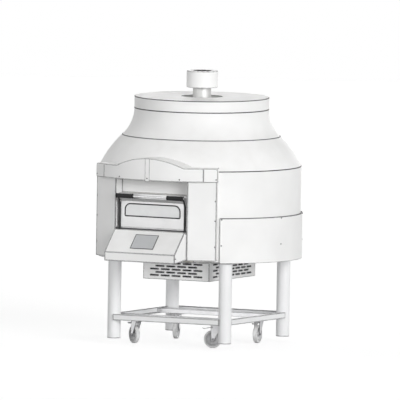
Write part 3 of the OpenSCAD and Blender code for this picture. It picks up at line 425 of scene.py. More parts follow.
painted("body_white", WHITE, DARK_EDGE)
painted("panel_white", WHITE, DARK_EDGE, width=0.014)
painted("lapped_white", WHITE, (0.03, 0.03, 0.03), width=0.0022)
painted("rubbed_edge", (0.22, 0.22, 0.225), (0.05, 0.05, 0.05), roughness=0.6)
painted("leg_tube", (0.84, 0.845, 0.85), DARK_EDGE, width=0.012)
painted("black_steel", (0.016, 0.016, 0.018), (0.08, 0.08, 0.08), 0.55, dust=0.05, width=0.001)
painted("motor_paint", (0.12, 0.19, 0.29), (0.30, 0.30, 0.31), roughness=0.38, width=0.002)
painted("brake_steel", (0.62, 0.62, 0.63), (0.12, 0.12, 0.12), roughness=0.42, width=0.003)
print("painted:", ", ".join(finishes))

# %% [markdown]
# ## Bare metal
# Metal shows what stands round it, so its look is mostly roughness. Brushed sheet has fine lines along
# one way, galvanised sheet has cloudy spangle, and small zinc-plated parts are nearly plain. The edges
# of sheets are dark with baked-on dirt, and those of small parts are bright from handling.

# %% The metal finishes
def metal(slot, colour, roughness, along, pattern=0.5, edge=(0.85, 0.85, 0.85), wear=0.3,
          width=0.0015):
    """Bare metal with brushed lines along x or z, or with cloudy spangle."""
    tree, shader = begin(slot, {"Metallic": 1.0})
    if along == "x":
        grain = use(tree, brushing)
    elif along == "z":
        grain = use(tree, brushing, **{"along x": ACROSS, "along z": ALONG})
    else:
        grain = use(tree, mottle, size=0.018, detail=5.0)
    dull = shade(colour, 1 - 0.35 * pattern)
    tone = blend(tree, spread(tree, grain, 0.35, 0.65), colour, dull)
    tone = blend(tree, use(tree, settled_dust, amount=0.2), tone, (0.40, 0.37, 0.33))
    slow = use(tree, mottle, size=0.09, detail=4.0)
    cloudy = sums(tree, "ADD", sums(tree, "MULTIPLY", grain, 0.5), slow)
    gloss = spread(tree, cloudy, 0.4, 1.1, roughness - 0.06, roughness + 0.12)
    surface(tree, shader, worn_edges(tree, tone, edge, width, wear), gloss)
    relief(tree, shader, grain, 0.00003 * pattern)


metal("galvanised", (0.80, 0.80, 0.81), 0.55, "cloudy", 0.2, DARK_EDGE, wear=0.95, width=0.006)
metal("zinc", (0.76, 0.76, 0.77), 0.42, "cloudy", 0.3, DARK_EDGE, wear=0.95, width=0.008)
metal("flue_steel", (0.64, 0.64, 0.635), 0.60, "z", 0.3, DARK_EDGE, wear=0.9, width=0.006)
metal("screw_steel", (0.10, 0.10, 0.105), 0.42, "cloudy", 0.3, (0.2, 0.2, 0.2))
metal("frame_steel", (0.70, 0.70, 0.70), 0.46, "x", 0.5, DARK_EDGE, wear=0.9, width=0.006)
metal("door_steel", (0.58, 0.58, 0.58), 0.52, "x", 0.25, DARK_EDGE, wear=0.95, width=0.005)
metal("handle_steel", (0.66, 0.66, 0.67), 0.24, "x", 0.3)
metal("hinge_steel", (0.10, 0.10, 0.105), 0.42, "x", 0.4)
metal("gear_steel", (0.48, 0.48, 0.50), 0.30, "cloudy", 0.4)
print("metals too:", len(finishes), "finishes")

# %% [markdown]
# The flue is pale outside and black inside: soot, and painted shade in the pipe's bore. Both are one
# turned piece, so the black is found by its distance from the axis: clean steel turns to black across
# the pipe's top edge.

# %% Soot and painted shade in the flue
AXIS_Y = 0.130
CLEAN, SOOT_AND_SHADE_RADIUS = 0.0815, 0.0765
tree = finishes["flue_steel"].node_tree
shader = tree.nodes["Principled BSDF"]
steel = shader.inputs["Base Color"].links[0].from_socket
point = add(tree, "TexCoord").outputs["Object"]
where = add(tree, "VectorMath", {0: point, 1: (0, -AXIS_Y, 0)}, operation="ADD")
flat = add(tree, "VectorMath", {0: where.outputs[0], 1: (1, 1, 0)}, operation="MULTIPLY")
from_axis = add(tree, "VectorMath", {0: flat.outputs[0]}, operation="LENGTH").outputs["Value"]
# Inside the bore the steel turns black: soot, and painted shade of the recess.
inside = spread(tree, from_axis, CLEAN, SOOT_AND_SHADE_RADIUS)
thick = patchy(tree, 0.02, 5.0, 0.2, 0.6, 0.85, 1.0)
soot_and_shade = sums(tree, "MULTIPLY", inside, thick)
# Near-black colour for soot, and also painted shade inside the pipe.
sooty_and_shaded = blend(tree, soot_and_shade, steel, (0.015, 0.014, 0.013))
tree.links.new(sooty_and_shaded, shader.inputs["Base Color"])
bare = sums(tree, "SUBTRACT", 1.0, soot_and_shade)
tree.links.new(bare, shader.inputs["Metallic"])
print("soot inside", finishes["flue_steel"].name)

# %% [markdown]
# ## Mouldings, rubber and glass
# Black mouldings have a fine spark-eroded grain and go grey on their edges. The tyres are grey
# thermoplastic rubber, as on hospital castors, so that they leave no marks. The door's glass has a
# pale heat-reflecting film, so it shows only part of the oven behind it.

# %% The moulded finishes
def moulded(slot, colour, worn, roughness, wear=0.5, dust=0.15, width=0.002):
    """Plastic or rubber with a fine grain, greyed edges and a little dust."""
    tree, shader = begin(slot, {"Specular IOR Level": 0.25})
    slow = patchy(tree, 0.03, 5.0, 0.35, 0.65)
    tone = blend(tree, slow, colour, shade(colour, 0.86))
    tone = blend(tree, use(tree, settled_dust, amount=dust), tone, (0.42, 0.39, 0.34))
    gloss = patchy(tree, 0.02, 3.0, 0.3, 0.7, roughness - 0.08, roughness + 0.08)
    surface(tree, shader, worn_edges(tree, tone, worn, width, wear), gloss)
    relief(tree, shader, use(tree, mottle, size=0.0012, detail=2.0), 0.00006)


moulded("black_plastic", (0.012, 0.012, 0.013), (0.03, 0.03, 0.03), 0.60, dust=0.03)
moulded("seal_rubber", (0.012, 0.012, 0.013), (0.05, 0.05, 0.05), 0.62, dust=0.05)
moulded("wheel_nylon", (0.68, 0.68, 0.69), (0.08, 0.08, 0.08), 0.46, wear=0.95, width=0.004)
moulded("tyre_rubber", (0.82, 0.82, 0.82), (0.08, 0.08, 0.08), 0.66, wear=0.95, width=0.005)


def glazed(slot, colour, through):
    """Glass with faint smears in its gloss, and light passing through a share of it."""
    tree, shader = begin(slot, {"IOR": 1.5, "Transmission Weight": through})
    smear = use(tree, mottle, size=0.07, detail=6.0)
    tone = blend(tree, spread(tree, smear, 0.3, 0.7), colour, shade(colour, 0.94))
    surface(tree, shader, tone, spread(tree, smear, 0.4, 0.7, 0.06, 0.14))
    relief(tree, shader, use(tree, mottle, size=0.15, detail=0.0), 0.0002, 0.3)


glazed("door_glass", (0.90, 0.91, 0.91), 0.15)
glazed("display_glass", (0.50, 0.51, 0.52), 0.0)
print("mouldings and glass:", len(finishes), "finishes")

# %% [markdown]
# ## Stone, brick, fibre and cast iron
# The hearth and the bricks are pressed from grains of fired clay, so they have specks, pits and slow
# stains. **Grit** gives such specks from Voronoi cells, each with its own tone. Cast iron has the same
# pattern with shallow dents from its sand mould, and the ceramic fibre has soft tufts.

# %% The mineral finishes
grit, given, result = effect("Grit", {"Size": 0.004}, "Value")
where = add(grit, "TexCoord").outputs["Object"]
fineness = sums(grit, "DIVIDE", 1.0, given["Size"])
bent = add(grit, "TexNoise", {"Vector": where, "Scale": fineness}).outputs["Color"]
shift = add(grit, "VectorMath", {0: bent, 1: (0.004, 0.004, 0.004)}, operation="MULTIPLY").outputs[0]
there = add(grit, "VectorMath", {0: where, 1: shift}, operation="ADD").outputs[0]
cells = add(grit, "TexVoronoi", {"Vector": there, "Scale": fineness})
grain = add(grit, "SeparateColor", {0: cells.outputs["Color"]}).outputs[0]
grit.links.new(grain, result)


def mineral(slot, colour, speck, stain, roughness=0.85, size=0.004, depth=0.0004, metallic=0.0):
    """Grains with their own tones, slow stains and a pitted surface."""
    tree, shader = begin(slot, {"Metallic": metallic})
    specks = use(tree, grit, size=size)
    tone = blend(tree, sums(tree, "POWER", specks, 3.0), colour, speck)
    slow = patchy(tree, 0.16, 5.0, 0.45, 0.75)
    gloss = spread(tree, specks, 0.0, 1.0, roughness - 0.1, roughness + 0.06)
    surface(tree, shader, blend(tree, slow, tone, stain), gloss)
    pits = sums(tree, "ADD", specks, use(tree, mottle, size=size * 4, detail=6.0))
    relief(tree, shader, pits, depth)


mineral("hearth_stone", (0.60, 0.52, 0.42), (0.34, 0.29, 0.24), (0.42, 0.34, 0.26))
mineral("refractory", (0.62, 0.47, 0.33), (0.42, 0.30, 0.20), (0.44, 0.32, 0.22), 0.85, 0.006, 0.0008)
mineral("fibre", (0.82, 0.80, 0.74), (0.70, 0.67, 0.60), (0.74, 0.71, 0.64), 0.95, 0.02, 0.003)
mineral("gear_iron", (0.14, 0.14, 0.145), (0.20, 0.20, 0.20), (0.10, 0.085, 0.075), 0.56,
        0.002, 0.0002, 0.8)
missing = set(slot_of.values()) - set(finishes)
print("finishes:", len(finishes), "missing:", missing or "none")

# %% [markdown]
# ## Dressing the CAD nodes
# Every CAD node gets the finish of its material slot straight away. The insulation, which never shows,
# needs nothing more. The rest are replaced further on by pieces with finishes from the same slots.

# %% Finish on every node
for name, node in nodes.items():
    node.data.materials.clear()
    node.data.materials.append(finishes[slot_of[name]])
print("dressed", len(nodes), "nodes")

# %% [markdown]
# ## Handing over from CAD to visual piece
# A visual piece takes over from its node: it gets the node's finish, moves with the node's body, and
# hides the node, which stays for collisions. A small fitting that the CAD model leaves out, such as a
# weld or a bolt head, hides nothing and only rides along.

# %% Dressing and fitting
def fit(piece, slot, body="oven"):
    """Give a piece a finish, and let it move with a body."""
    piece.data.materials.clear()
    piece.data.materials.append(finishes[slot])
    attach(piece, body)
    return piece


def dress(piece, node):
    """Let a piece stand for a CAD node."""
    fit(piece, slot_of[node], body_of[node])
    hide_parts(node)
    print(piece.name, "stands for", node, "with", len(piece.data.polygons), "faces")
    return piece


print("ready to dress", len(nodes), "nodes")

# %% [markdown]
# ## Sheet-metal housing
# The columns, the header, the roof, the console and the slotted box are folded from 2 to 3 mm sheet.
# Their outlines are right in the CAD model, and what they lack is the small radius of each fold and
# cut. So a copy of each node is merged and rounded.

# %% Folded sheets
def dress_all(widths, segments=2):
    """Let rounded copies stand for CAD nodes, each with its own radius."""
    for node, width in widths.items():
        dress(softened(node, width, segments), node)


dress_all({
    "left_column": 0.0016, "right_column": 0.0016, "header_strip": 0.0014, "portal_roof": 0.0012,
    "lintel_panel": 0.0012, "mouth_frame": 0.0014, "console_housing": 0.0013, "drum_band": 0.0010,
    "deck_plate": 0.0020})
dress_all({"vent_box": 0.0005}, 1)
for node in ("left_column", "right_column", "console_housing"):
    bpy.data.objects[node + "_form"].data.materials[0] = finishes["panel_white"]
bpy.data.objects["portal_roof_form"].data.materials[0] = finishes["lapped_white"]

# %% [markdown]
# The header is three panels in one node: a wide one with an arched top, and an end on each side that
# laps over its column. They are taken apart, and the worn borders of the ends are modelled: each large
# face is inset, and the narrow frame round it is dark. Points that all but coincide are merged first,
# because an inset would throw them far out.

# %% Header panels
LARGE_FACE, BORDER = 0.01, 0.0040


def rub_border(piece):
    """Give each large flat face of a panel a narrow dark border."""
    piece.data.materials.append(finishes["rubbed_edge"])
    open_mesh(piece)
    bpy.ops.mesh.remove_doubles(threshold=0.0006)
    bpy.ops.mesh.select_mode(type="FACE")
    bpy.ops.mesh.select_all(action="DESELECT")
    close_mesh()
    for face in piece.data.polygons:
        face.select = face.area > LARGE_FACE
    bpy.ops.object.mode_set(mode="EDIT")
    piece.active_material_index = 1
    bpy.ops.object.material_slot_assign()
    bpy.ops.mesh.inset(thickness=BORDER, use_individual=True)
    bpy.ops.mesh.faces_shade_flat()
    piece.active_material_index = 0
    bpy.ops.object.material_slot_assign()
    close_mesh()
    bpy.ops.mesh.customdata_custom_splitnormals_clear()


open_mesh(softened("header_panels", 0.0012))
bpy.ops.mesh.separate(type="LOOSE")
close_mesh()
for panel in [piece for piece in bpy.data.objects if piece.name.startswith("header_panels_form")]:
    corners = [corner.co for corner in panel.data.vertices]
    middle = sum(corners, Vector()) / len(corners)
    lapped = abs(middle.x) > 0.4
    side = "left_end" if middle.x < 0 else "right_end"
    panel.name = "header_" + (side if lapped else "middle")
    dress(panel, "header_panels")
    panel.data.materials[0] = finishes["lapped_white" if lapped else "panel_white"]
    if lapped:
        rub_border(panel)

# %% [markdown]
# The slotted box lets air in. A black sheet inside it, just behind the slots, is painted shade: it
# makes the slots look dark. A cube of the box's size is moved in, its top and foot are removed, and
# Solidify gives the walls their thickness.

# %% Dark sheet behind the slots, as painted shade
BEHIND_SLOTS = 0.016
low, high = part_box("vent_box")
bpy.ops.mesh.primitive_cube_add(size=1, location=(low + high) / 2)
mat = bpy.context.object
mat.name = "filter_mat"
mat.scale = [side - BEHIND_SLOTS for side in high - low]
bpy.ops.object.transform_apply(location=True, rotation=True, scale=True)
open_mesh(mat)
pick(mat, lambda middle, normal: abs(normal.z) > 0.9)
bpy.ops.mesh.delete(type="FACE")
select_all()
bpy.ops.mesh.subdivide(number_cuts=3)
close_mesh()
wall = mat.modifiers.new("thickness", "SOLIDIFY")
wall.thickness = 0.003
bpy.ops.object.modifier_apply(modifier=wall.name)
# The black rubber finish on this sheet is painted shade inside the box.
fit(round_edges(mat, 0.0006, 1), "seal_rubber")
print("filter mat with", len(mat.data.polygons), "faces")

# %% [markdown]
# ## The skirt
# The skirt is one sheet rolled round the drum from one side of the portal to the other, with its edges
# turned in at foot and top. It could be a ring cut open with a Boolean. A spin that stops short at both
# sides of the portal gives the same with clean faces.

# %% Skirt
on_drum = Matrix.Translation((0, AXIS_Y, 0))


def stand_for(piece, node, width, segments=2, where=on_drum):
    """Move a turned piece to its place, round its edges, and let it stand for a node."""
    place(piece, where)
    round_edges(piece, width, segments)
    dress(piece, node)


SKIRT_START = 38.404
SKIRT_SWEEP = 360 - 2 * SKIRT_START
skirt_outline = [(0.919, 0.7872), (0.9205, 0.7870), (0.9218, 0.7882), (0.9218, 1.1905)]
skirt_outline += [(0.9206, 1.1928), (0.9190, 1.1930)]
stand_for(turned("skirt_sheet", skirt_outline, 150, SKIRT_START, SKIRT_SWEEP), "skirt", 0.0006)

# %% [markdown]
# ## The hood
# The hood is rolled from two sheets: a lower shell that bulges outwards and an upper one that curves
# inwards to the neck. Together they make an ogee, and the two arcs share one tangent where they meet.
# Each outline runs up one side of the sheet and down the other.

# %% Lower and upper shells
SHEET, SHELL_STEPS = 0.003, 160
lower_centre, lower_radius = (0.0886, 1.2206), 0.9062
upper_centre, upper_radius = (0.9430, 2.1220), 0.3359
outside = arc(lower_centre, lower_radius, 25.75, 46.45, 20)
inside = arc(lower_centre, lower_radius - SHEET, 46.45, 25.75, 20)
stand_for(turned("lower_shell", outside + inside, SHELL_STEPS), "lower_hood", 0.0009)

outside = arc(upper_centre, upper_radius, 226.45, 180.05, 26)
inside = arc(upper_centre, upper_radius + SHEET, 180.05, 226.45, 26)
stand_for(turned("upper_shell", outside + inside, SHELL_STEPS), "upper_hood", 0.0009)

# %% [markdown]
# ## The neck and its top
# A short straight neck carries a flat lid with a round opening for the flue. The lid's outer edge has a
# 7 mm fold and the opening a rolled lip, which keeps thin sheet from buckling and from cutting hands.

# %% Neck and lid
FOLD_CENTRE, NECK_FOOT = (0.6000, 2.2220), 2.1222
fold = arc(FOLD_CENTRE, 0.0070, 0, 90, 6)
fold_inside = arc(FOLD_CENTRE, 0.0040, 90, 0, 6)
lip = arc((0.1868, 2.2262), 0.0028, 90, 250, 8)
neck_outline = [(0.6070, NECK_FOOT)] + fold + lip + [(0.1900, 2.2260)]
neck_outline += fold_inside + [(0.6040, NECK_FOOT)]
stand_for(turned("neck_and_lid", neck_outline, SHELL_STEPS), "top_cap", 0.0006)

# %% [markdown]
# ## The flue
# The flue is a welded stainless pipe that stands on the dome and passes through a collar in the neck.
# A small upstand on the collar keeps rain out of the gap. The pipe, the collar's floor and its wall
# are plain rings, turned one by one and joined.

# %% Flue pipe and collar
BORE, PIPE, PIPE_HOLE = 0.0750, 0.0830, 0.0834
COLLAR, COLLAR_FOOT, COLLAR_FLOOR = 0.2000, 2.1757, 2.1786
low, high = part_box("flue_pipe")
foot, mouth = low.z, high.z
pipe_outline = [(BORE, foot), (PIPE, foot), (PIPE, mouth - 0.002), (0.0812, mouth)]
pipe_outline += [(0.0768, mouth), (BORE, mouth - 0.002)]
floor_outline = [(PIPE_HOLE, COLLAR_FOOT), (PIPE_HOLE, 2.1950), (0.0852, 2.1950)]
floor_outline += [(0.0860, COLLAR_FLOOR), (0.1985, COLLAR_FLOOR), (0.1985, COLLAR_FOOT)]
wall_outline = [(0.1970, COLLAR_FOOT), (COLLAR, COLLAR_FOOT), (COLLAR, 2.2255), (0.1970, 2.2255)]
rings = {"flue_tube": pipe_outline, "collar_floor": floor_outline, "collar_wall": wall_outline}
flue = join("flue_with_collar", [turned(name, outline) for name, outline in rings.items()])
stand_for(flue, "flue_pipe", 0.0007)

# %% [markdown]
# The chimney cap is a closed drum round the top of the pipe, with small folds at its top and foot. Its
# band is left bare.

# %% Chimney cap
CAP, CAP_INSIDE = 0.141, 0.131
low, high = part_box("flue_cap")
foot, crown = low.z, high.z
outer_cap = [(PIPE_HOLE, foot)] + arc((CAP - 0.004, foot + 0.004), 0.004, -90, 0, 5)
outer_cap += arc((CAP - 0.005, crown - 0.005), 0.005, 0, 90, 5) + [(PIPE_HOLE, crown)]
inner_cap = [(PIPE_HOLE, crown - 0.008), (CAP_INSIDE, crown - 0.010)]
inner_cap += [(CAP_INSIDE, foot + 0.010), (PIPE_HOLE, foot + 0.008)]
stand_for(turned("chimney_cap", outer_cap + inner_cap, 120), "flue_cap", 0.0008)

# %% [markdown]
# ## Sealed joints
# Where two shells meet, the fitter runs a bead of dark heat-proof sealant into the joint and wipes it
# flat. Each bead is a low rounded ring, and shows as the thin dark line that divides the drum.

# %% Sealant beads
RISE = (-1.57, -1.0, -0.4, 0.4, 1.0, 1.57)


def bead(name, radius, height, half, proud=0.0012, start=0.0, sweep=360.0):
    """A low rounded ring on a round wall."""
    behind = radius - 0.002
    crown = [(radius + proud * cos(a), height + half * sin(a)) for a in RISE]
    outline = [(behind, height - half)] + crown + [(behind, height + half)]
    ring = turned(name, outline, SHELL_STEPS, start, sweep)
    place(ring, on_drum)
    bpy.ops.object.shade_smooth_by_angle(angle=radians(50))
    return fit(ring, "seal_rubber")


beads = [
    bead("bead_band", 0.9050, 1.6145, 0.0040), bead("bead_turn", 0.7122, 1.8782, 0.0036),
    bead("bead_neck", 0.6072, 2.1220, 0.0040),
    bead("bead_skirt", 0.9195, 1.1944, 0.0030, 0.0012, SKIRT_START, SKIRT_SWEEP),
    bead("bead_lid", 0.6066, 2.2235, 0.0034, 0.0010)]
print(len(beads), "sealant beads")

# %% [markdown]
# ## Seams at the rear
# The ends of each sheet meet at the rear, under a narrow cover strip. The strip follows the outline of
# its shell, a millimetre further out, and is spun through only two degrees. Two rows of rivets show on
# the straight drum.

# %% Cover strips and rivets
def lap_seam(name, outline):
    """A narrow cover strip at the rear of a turned shell, from the shell's own outline."""
    strip = turned(name, outline, 4, 179.0, 2.0)
    place(strip, on_drum)
    fit(round_edges(strip, 0.0004, 1), "body_white")


def discard(pattern):
    """Delete a pattern once its copies are made."""
    only(pattern)
    bpy.ops.object.delete()


BAND = 0.9062
grown = arc(lower_centre, lower_radius + 0.0012, 26.1, 46.2, 20)
lap_seam("seam_lower", grown + arc(lower_centre, lower_radius - 0.001, 46.2, 26.1, 20))
grown = arc(upper_centre, upper_radius - 0.0012, 225.9, 180.7, 24)
lap_seam("seam_upper", grown + arc(upper_centre, upper_radius + 0.001, 180.7, 225.9, 24))
lap_seam("seam_band", [(0.9040, 1.2000), (BAND, 1.2000), (BAND, 1.6090), (0.9040, 1.6090)])

bpy.ops.mesh.primitive_uv_sphere_add(segments=12, ring_count=6, radius=0.0035)
rivet = bpy.context.object
open_mesh(rivet)
bpy.ops.mesh.bisect(plane_co=(0, 0, 0), plane_no=(0, 0, -1), clear_outer=True, use_fill=True)
select_all()
bpy.ops.transform.resize(value=(1, 1, 0.45))
close_mesh()
to_rear = Matrix.Rotation(radians(-90), 4, "X")
rivets = []
for row in range(8):
    for side in (-0.0090, 0.0090):
        spot = Matrix.Translation((side, AXIS_Y + BAND - 0.0001, 1.225 + row * 0.0515))
        rivets.append(copy_of(rivet, spot @ to_rear))
discard(rivet)
print("three cover strips and", len(rivets), "rivets")
rivets = join("band_rivets", rivets)
bpy.ops.object.shade_smooth_by_angle(angle=radians(40))
fit(rivets, "body_white")

# %% [markdown]
# ## The legs
# Each leg is a 120 mm tube that stands just clear of the floor, with a turned-in rim at its foot. It is
# welded to the deck plate, and the weld is a small ring in the corner between the two. One leg is
# modelled and copied.

# %% Four legs with their welds
LEG_FOOT, DECK, LEG_INSIDE, LEG = 0.054, 0.787, 0.0560, 0.0600
LEG_X, LEG_Y = 0.560195, 0.57015
leg_outline = [(LEG_INSIDE, LEG_FOOT + 0.004), (LEG_INSIDE, DECK), (LEG, DECK), (LEG, LEG_FOOT + 0.003)]
leg_outline += [(0.0585, LEG_FOOT + 0.0006), (0.0570, LEG_FOOT), (0.0, LEG_FOOT)]
leg_outline += [(0.0, LEG_FOOT + 0.004)]
weld_outline = [(0.0598, DECK), (0.0598, DECK - 0.0060), (0.0622, DECK - 0.0045)]
weld_outline += [(0.0640, DECK - 0.0020), (0.0650, DECK)]
leg = join("leg", [turned("leg", leg_outline, 64), turned("weld", weld_outline, 64)])
round_edges(leg, 0.0005, 1)
corners = [(x, y, 0) for x in (-LEG_X, LEG_X) for y in (-LEG_Y, LEG_Y)]
legs = [copy_of(leg, on_drum @ Matrix.Translation(corner)) for corner in corners]
discard(leg)
dress(join("leg_tubes", legs), "legs")

# %% [markdown]
# ## The shelf frame
# Between the legs run four channel rails, and two wider channels across the stand carry the casters.
# They are rolled sections, so their corners are round.

# %% Rails, bearers and caster plates
dress_all({"shelf_rails": 0.0014, "caster_bearers": 0.0014, "caster_plates": 0.0010})

# %% [markdown]
# ## Bolts and nuts
# A hexagon head starts as a six-sided cylinder. Its top is inset and pushed down a little for the
# washer face. Four such bolts go down through the channel's floor into each caster plate, heads up,
# clear of the fork that swivels below. Each axle has a nut at both ends.

# %% One hexagon head, and its copies
def hexagon(across, height):
    """A hexagon head that stands on the origin along Z, with a chamfered top and a washer."""
    bpy.ops.mesh.primitive_cylinder_add(
        vertices=6, radius=across / sqrt(3), depth=height, location=(0, 0, height / 2))
    head = bpy.context.object
    open_mesh(head)
    pick(head, lambda middle, normal: normal.z > 0.9)
    bpy.ops.mesh.inset(thickness=across * 0.07)
    bpy.ops.transform.translate(value=(0, 0, -height * 0.12))
    bpy.ops.mesh.inset(thickness=across * 0.10)
    bpy.ops.transform.translate(value=(0, 0, height * 0.10))
    pick(head, lambda middle, normal: normal.z < -0.9)
    bpy.ops.mesh.inset(thickness=across * 0.04)
    pull((0, 0, -0.0004))
    close_mesh()
    return round_edges(head, 0.0006, 1)


corner_names = ("front_left", "front_right", "rear_left", "rear_right")
joint_at = {joint["name"]: Vector(joint["pos_m"]) for joint in frame["joints"]}
swivels = [joint_at[corner + "_swivel"] for corner in corner_names]
BEARER_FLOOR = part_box("caster_bearers")[0].z + 0.0042
BOLT_X, BOLT_Y = 0.0440, 0.0370
bolt = hexagon(0.013, 0.0065)
bolts = []
for swivel in swivels:
    for x in (swivel.x - BOLT_X, swivel.x + BOLT_X):
        for y in (swivel.y - BOLT_Y, swivel.y + BOLT_Y):
            bolts.append(copy_of(bolt, Matrix.Translation((x, y, BEARER_FLOOR))))
discard(bolt)
print(len(bolts), "bolts")
fit(join("plate_bolts", bolts), "zinc")

# %% [markdown]
# ## The casters
# A caster is a fork that swivels under its plate, a nylon wheel centre with a grey rubber tyre, and a
# brake pedal behind it. Wheel and tyre are turned. The outline of the centre steps from the hub down
# to a thin web and out again to the rim, and the tyre has round shoulders.

# %% Turned wheel and tyre
RADIUS = joint_at["front_left_roll"].z
HUB, WEB, RIM_INSIDE, RIM = 0.0205, 0.0080, RADIUS - 0.0258, RADIUS - 0.0173
half = [(0.0065, 0.0190), (HUB, 0.0190), (HUB + 0.0015, WEB), (RIM_INSIDE - 0.0015, WEB)]
half += [(RIM_INSIDE, 0.0152), (RIM, 0.0152)]
wheel = turned("wheel", half + [(r, -z) for r, z in reversed(half)], 64)
inner, outer = HUB + 0.003, RIM_INSIDE - 0.003
open_mesh(wheel)
pick(wheel, lambda middle, normal: abs(normal.z) > 0.9 and inner < middle.xy.length < outer)
bpy.ops.mesh.inset(thickness=0.0030)
bpy.ops.transform.resize(value=(1, 1, 0.72))
close_mesh()
round_edges(wheel, 0.0010)
SHOULDER, SEAT = RADIUS - 0.0057, RADIUS - 0.0170
tread = [(SEAT, -0.0190)] + arc((SHOULDER, -0.0133), 0.0057, -90, 0, 6)
tread += arc((SHOULDER, 0.0133), 0.0057, 0, 90, 6) + [(SEAT, 0.0190), (SEAT, 0.0)]
tyre = round_edges(turned("tyre", tread, 80), 0.0006)
print("a wheel of", round(RADIUS * 2000), "mm")

# %% Four casters
AXLE_END = 0.0270
nut = hexagon(0.0150, 0.0040)
lie_down, turn_over = (Matrix.Rotation(radians(angle), 4, "X") for angle in (90, 180))
outward = Matrix.Translation((0, 0, AXLE_END))
for corner, swivel in zip(corner_names, swivels):
    centre = joint_at[corner + "_roll"]
    turn = atan2(centre.y - swivel.y, centre.x - swivel.x)
    axle = Matrix.Translation(centre) @ Matrix.Rotation(turn, 4, "Z") @ lie_down
    for kind, pattern in (("wheel", wheel), ("tyre", tyre)):
        copy = copy_of(pattern, axle)
        copy.name = corner + "_" + kind + "_turned"
        dress(copy, corner + "_" + kind)
    dress_all({corner + "_fork": 0.0010, corner + "_brake": 0.0008})
    nuts = [copy_of(nut, end) for end in (axle @ outward, axle @ turn_over @ outward)]
    fit(join(corner + "_nuts", nuts), "zinc", body_of[corner + "_fork"])
for pattern in (wheel, tyre, nut):
    discard(pattern)

# %% [markdown]
# ## Screws
# Pan-head screws hold the sheets. The CAD model has each as a plain disc. One head is modelled, a low
# dome with a socket pressed into it. The discs are told apart by walking along their edges, and a copy
# of the head is laid on the middle of each, facing as the disc does.

# %% One screw, and a copy on every disc
bpy.ops.mesh.primitive_cylinder_add(vertices=24, radius=0.0060, depth=0.0030)
screw = bpy.context.object
open_mesh(screw)
pick(screw, lambda middle, normal: normal.z > 0.9)
bpy.ops.mesh.inset(thickness=0.0012)
bpy.ops.transform.translate(value=(0, 0, 0.0006))
bpy.ops.mesh.inset(thickness=0.0018)
pull((0, 0, -0.0020))
close_mesh()
round_edges(screw, 0.0004, 1)

discs = bmesh.new()
discs.from_mesh(nodes["body_screws"].data)
bmesh.ops.remove_doubles(discs, verts=discs.verts, dist=MERGE)
seen, heads = set(), []
for first in discs.verts:
    if first in seen:
        continue
    seen.add(first)
    island, ahead = [], [first]
    while ahead:
        point = ahead.pop()
        island.append(point)
        for other in [edge.other_vert(point) for edge in point.link_edges]:
            if other not in seen:
                seen.add(other)
                ahead.append(other)
    middle = sum((point.co for point in island), Vector()) / len(island)
    facing = {}
    for face in dict.fromkeys(face for point in island for face in point.link_faces):
        key = tuple(round(c, 2) for c in face.normal)
        facing[key] = facing.get(key, 0) + face.calc_area()
    flat = [Vector(normal) for normal in sorted(facing, key=facing.get)[-2:]]
    from_axis = middle - Vector((0, AXIS_Y, middle.z))
    outward = max(flat, key=from_axis.dot)
    facing_out = outward.to_track_quat("Z", "Y").to_matrix().to_4x4()
    heads.append(copy_of(screw, Matrix.Translation(middle) @ facing_out))
discs.free()
discard(screw)
print(len(heads), "screws")
dress(join("screw_heads", heads), "body_screws")

# %% [markdown]
# ## The door
# The door is a brushed steel leaf that drops forward on a rod. A rubber seal holds its glass, a liner
# closes its back, and a black arm at each side turns with it. They are rounded copies of their nodes,
# since their outlines have the slanted corners that the window needs.

# %% Door leaf, seal, glass, liner and arms
dress_all({
    "door_panel": 0.0014, "door_seal": 0.0010, "door_glass": 0.0008, "door_liner": 0.0012,
    "door_arms": 0.0014})

# %% [markdown]
# The handle is a steel bar with two black grips and a small cap at each end, all of them turned. Each
# grip has a shallow swell at both ends and eight grooves between them, because a plain tube would slip
# in a gloved hand.

# %% Handle bar and grips
HANDLE = (0, -0.863, 1.378)
across = Matrix.Rotation(radians(90), 4, "Y")
lie_across = Matrix.Translation(HANDLE) @ across
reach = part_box("handle_bar")[1].x
bar_outline = [(0.0, -reach)] + arc((0.0052, -reach + 0.0018), 0.0018, -90, 0, 4)
bar_outline += arc((0.0052, reach - 0.0018), 0.0018, 0, 90, 4) + [(0.0, reach)]
stand_for(turned("handle_tube", bar_outline, 40), "handle_bar", 0.0003, 1, lie_across)

BAR_HOLE, SWELL, WAIST, GROOVE = 0.0072, 0.0210, 0.0198, 0.0186
LENGTH, START = 0.150, 0.1717
end = [(BAR_HOLE, 0.0), (0.0185, 0.0), (SWELL, 0.0030), (SWELL, 0.0120), (WAIST, 0.0180)]
grip_outline = end[:]
for groove in range(8):
    along = 0.0240 + groove * 0.0146
    grip_outline += [(WAIST, along), (GROOVE, along + 0.0012)]
    grip_outline += [(GROOVE, along + 0.0028), (WAIST, along + 0.0040)]
grip_outline += [(r, LENGTH - z) for r, z in reversed(end)]
cap_outline = [(BAR_HOLE, 0.1606), (0.0196, 0.1606), (SWELL, 0.1618), (SWELL, 0.1662)]
cap_outline += [(0.0192, 0.1675), (BAR_HOLE, 0.1675)]
grip = join("grip", [turned("grip", grip_outline, 48), turned("grip_cap", cap_outline, 48)])
round_edges(grip, 0.0004, 1)
sideways = Matrix.Translation((0, 0, START))
grips = [copy_of(grip, lie_across @ sideways), copy_of(grip, lie_across @ turn_over @ sideways)]
discard(grip)
dress(join("grips", grips), "handle_grips")

# %% [markdown]
# The door turns on a rod as wide as the portal, with a flat head at each end, turned in one piece.

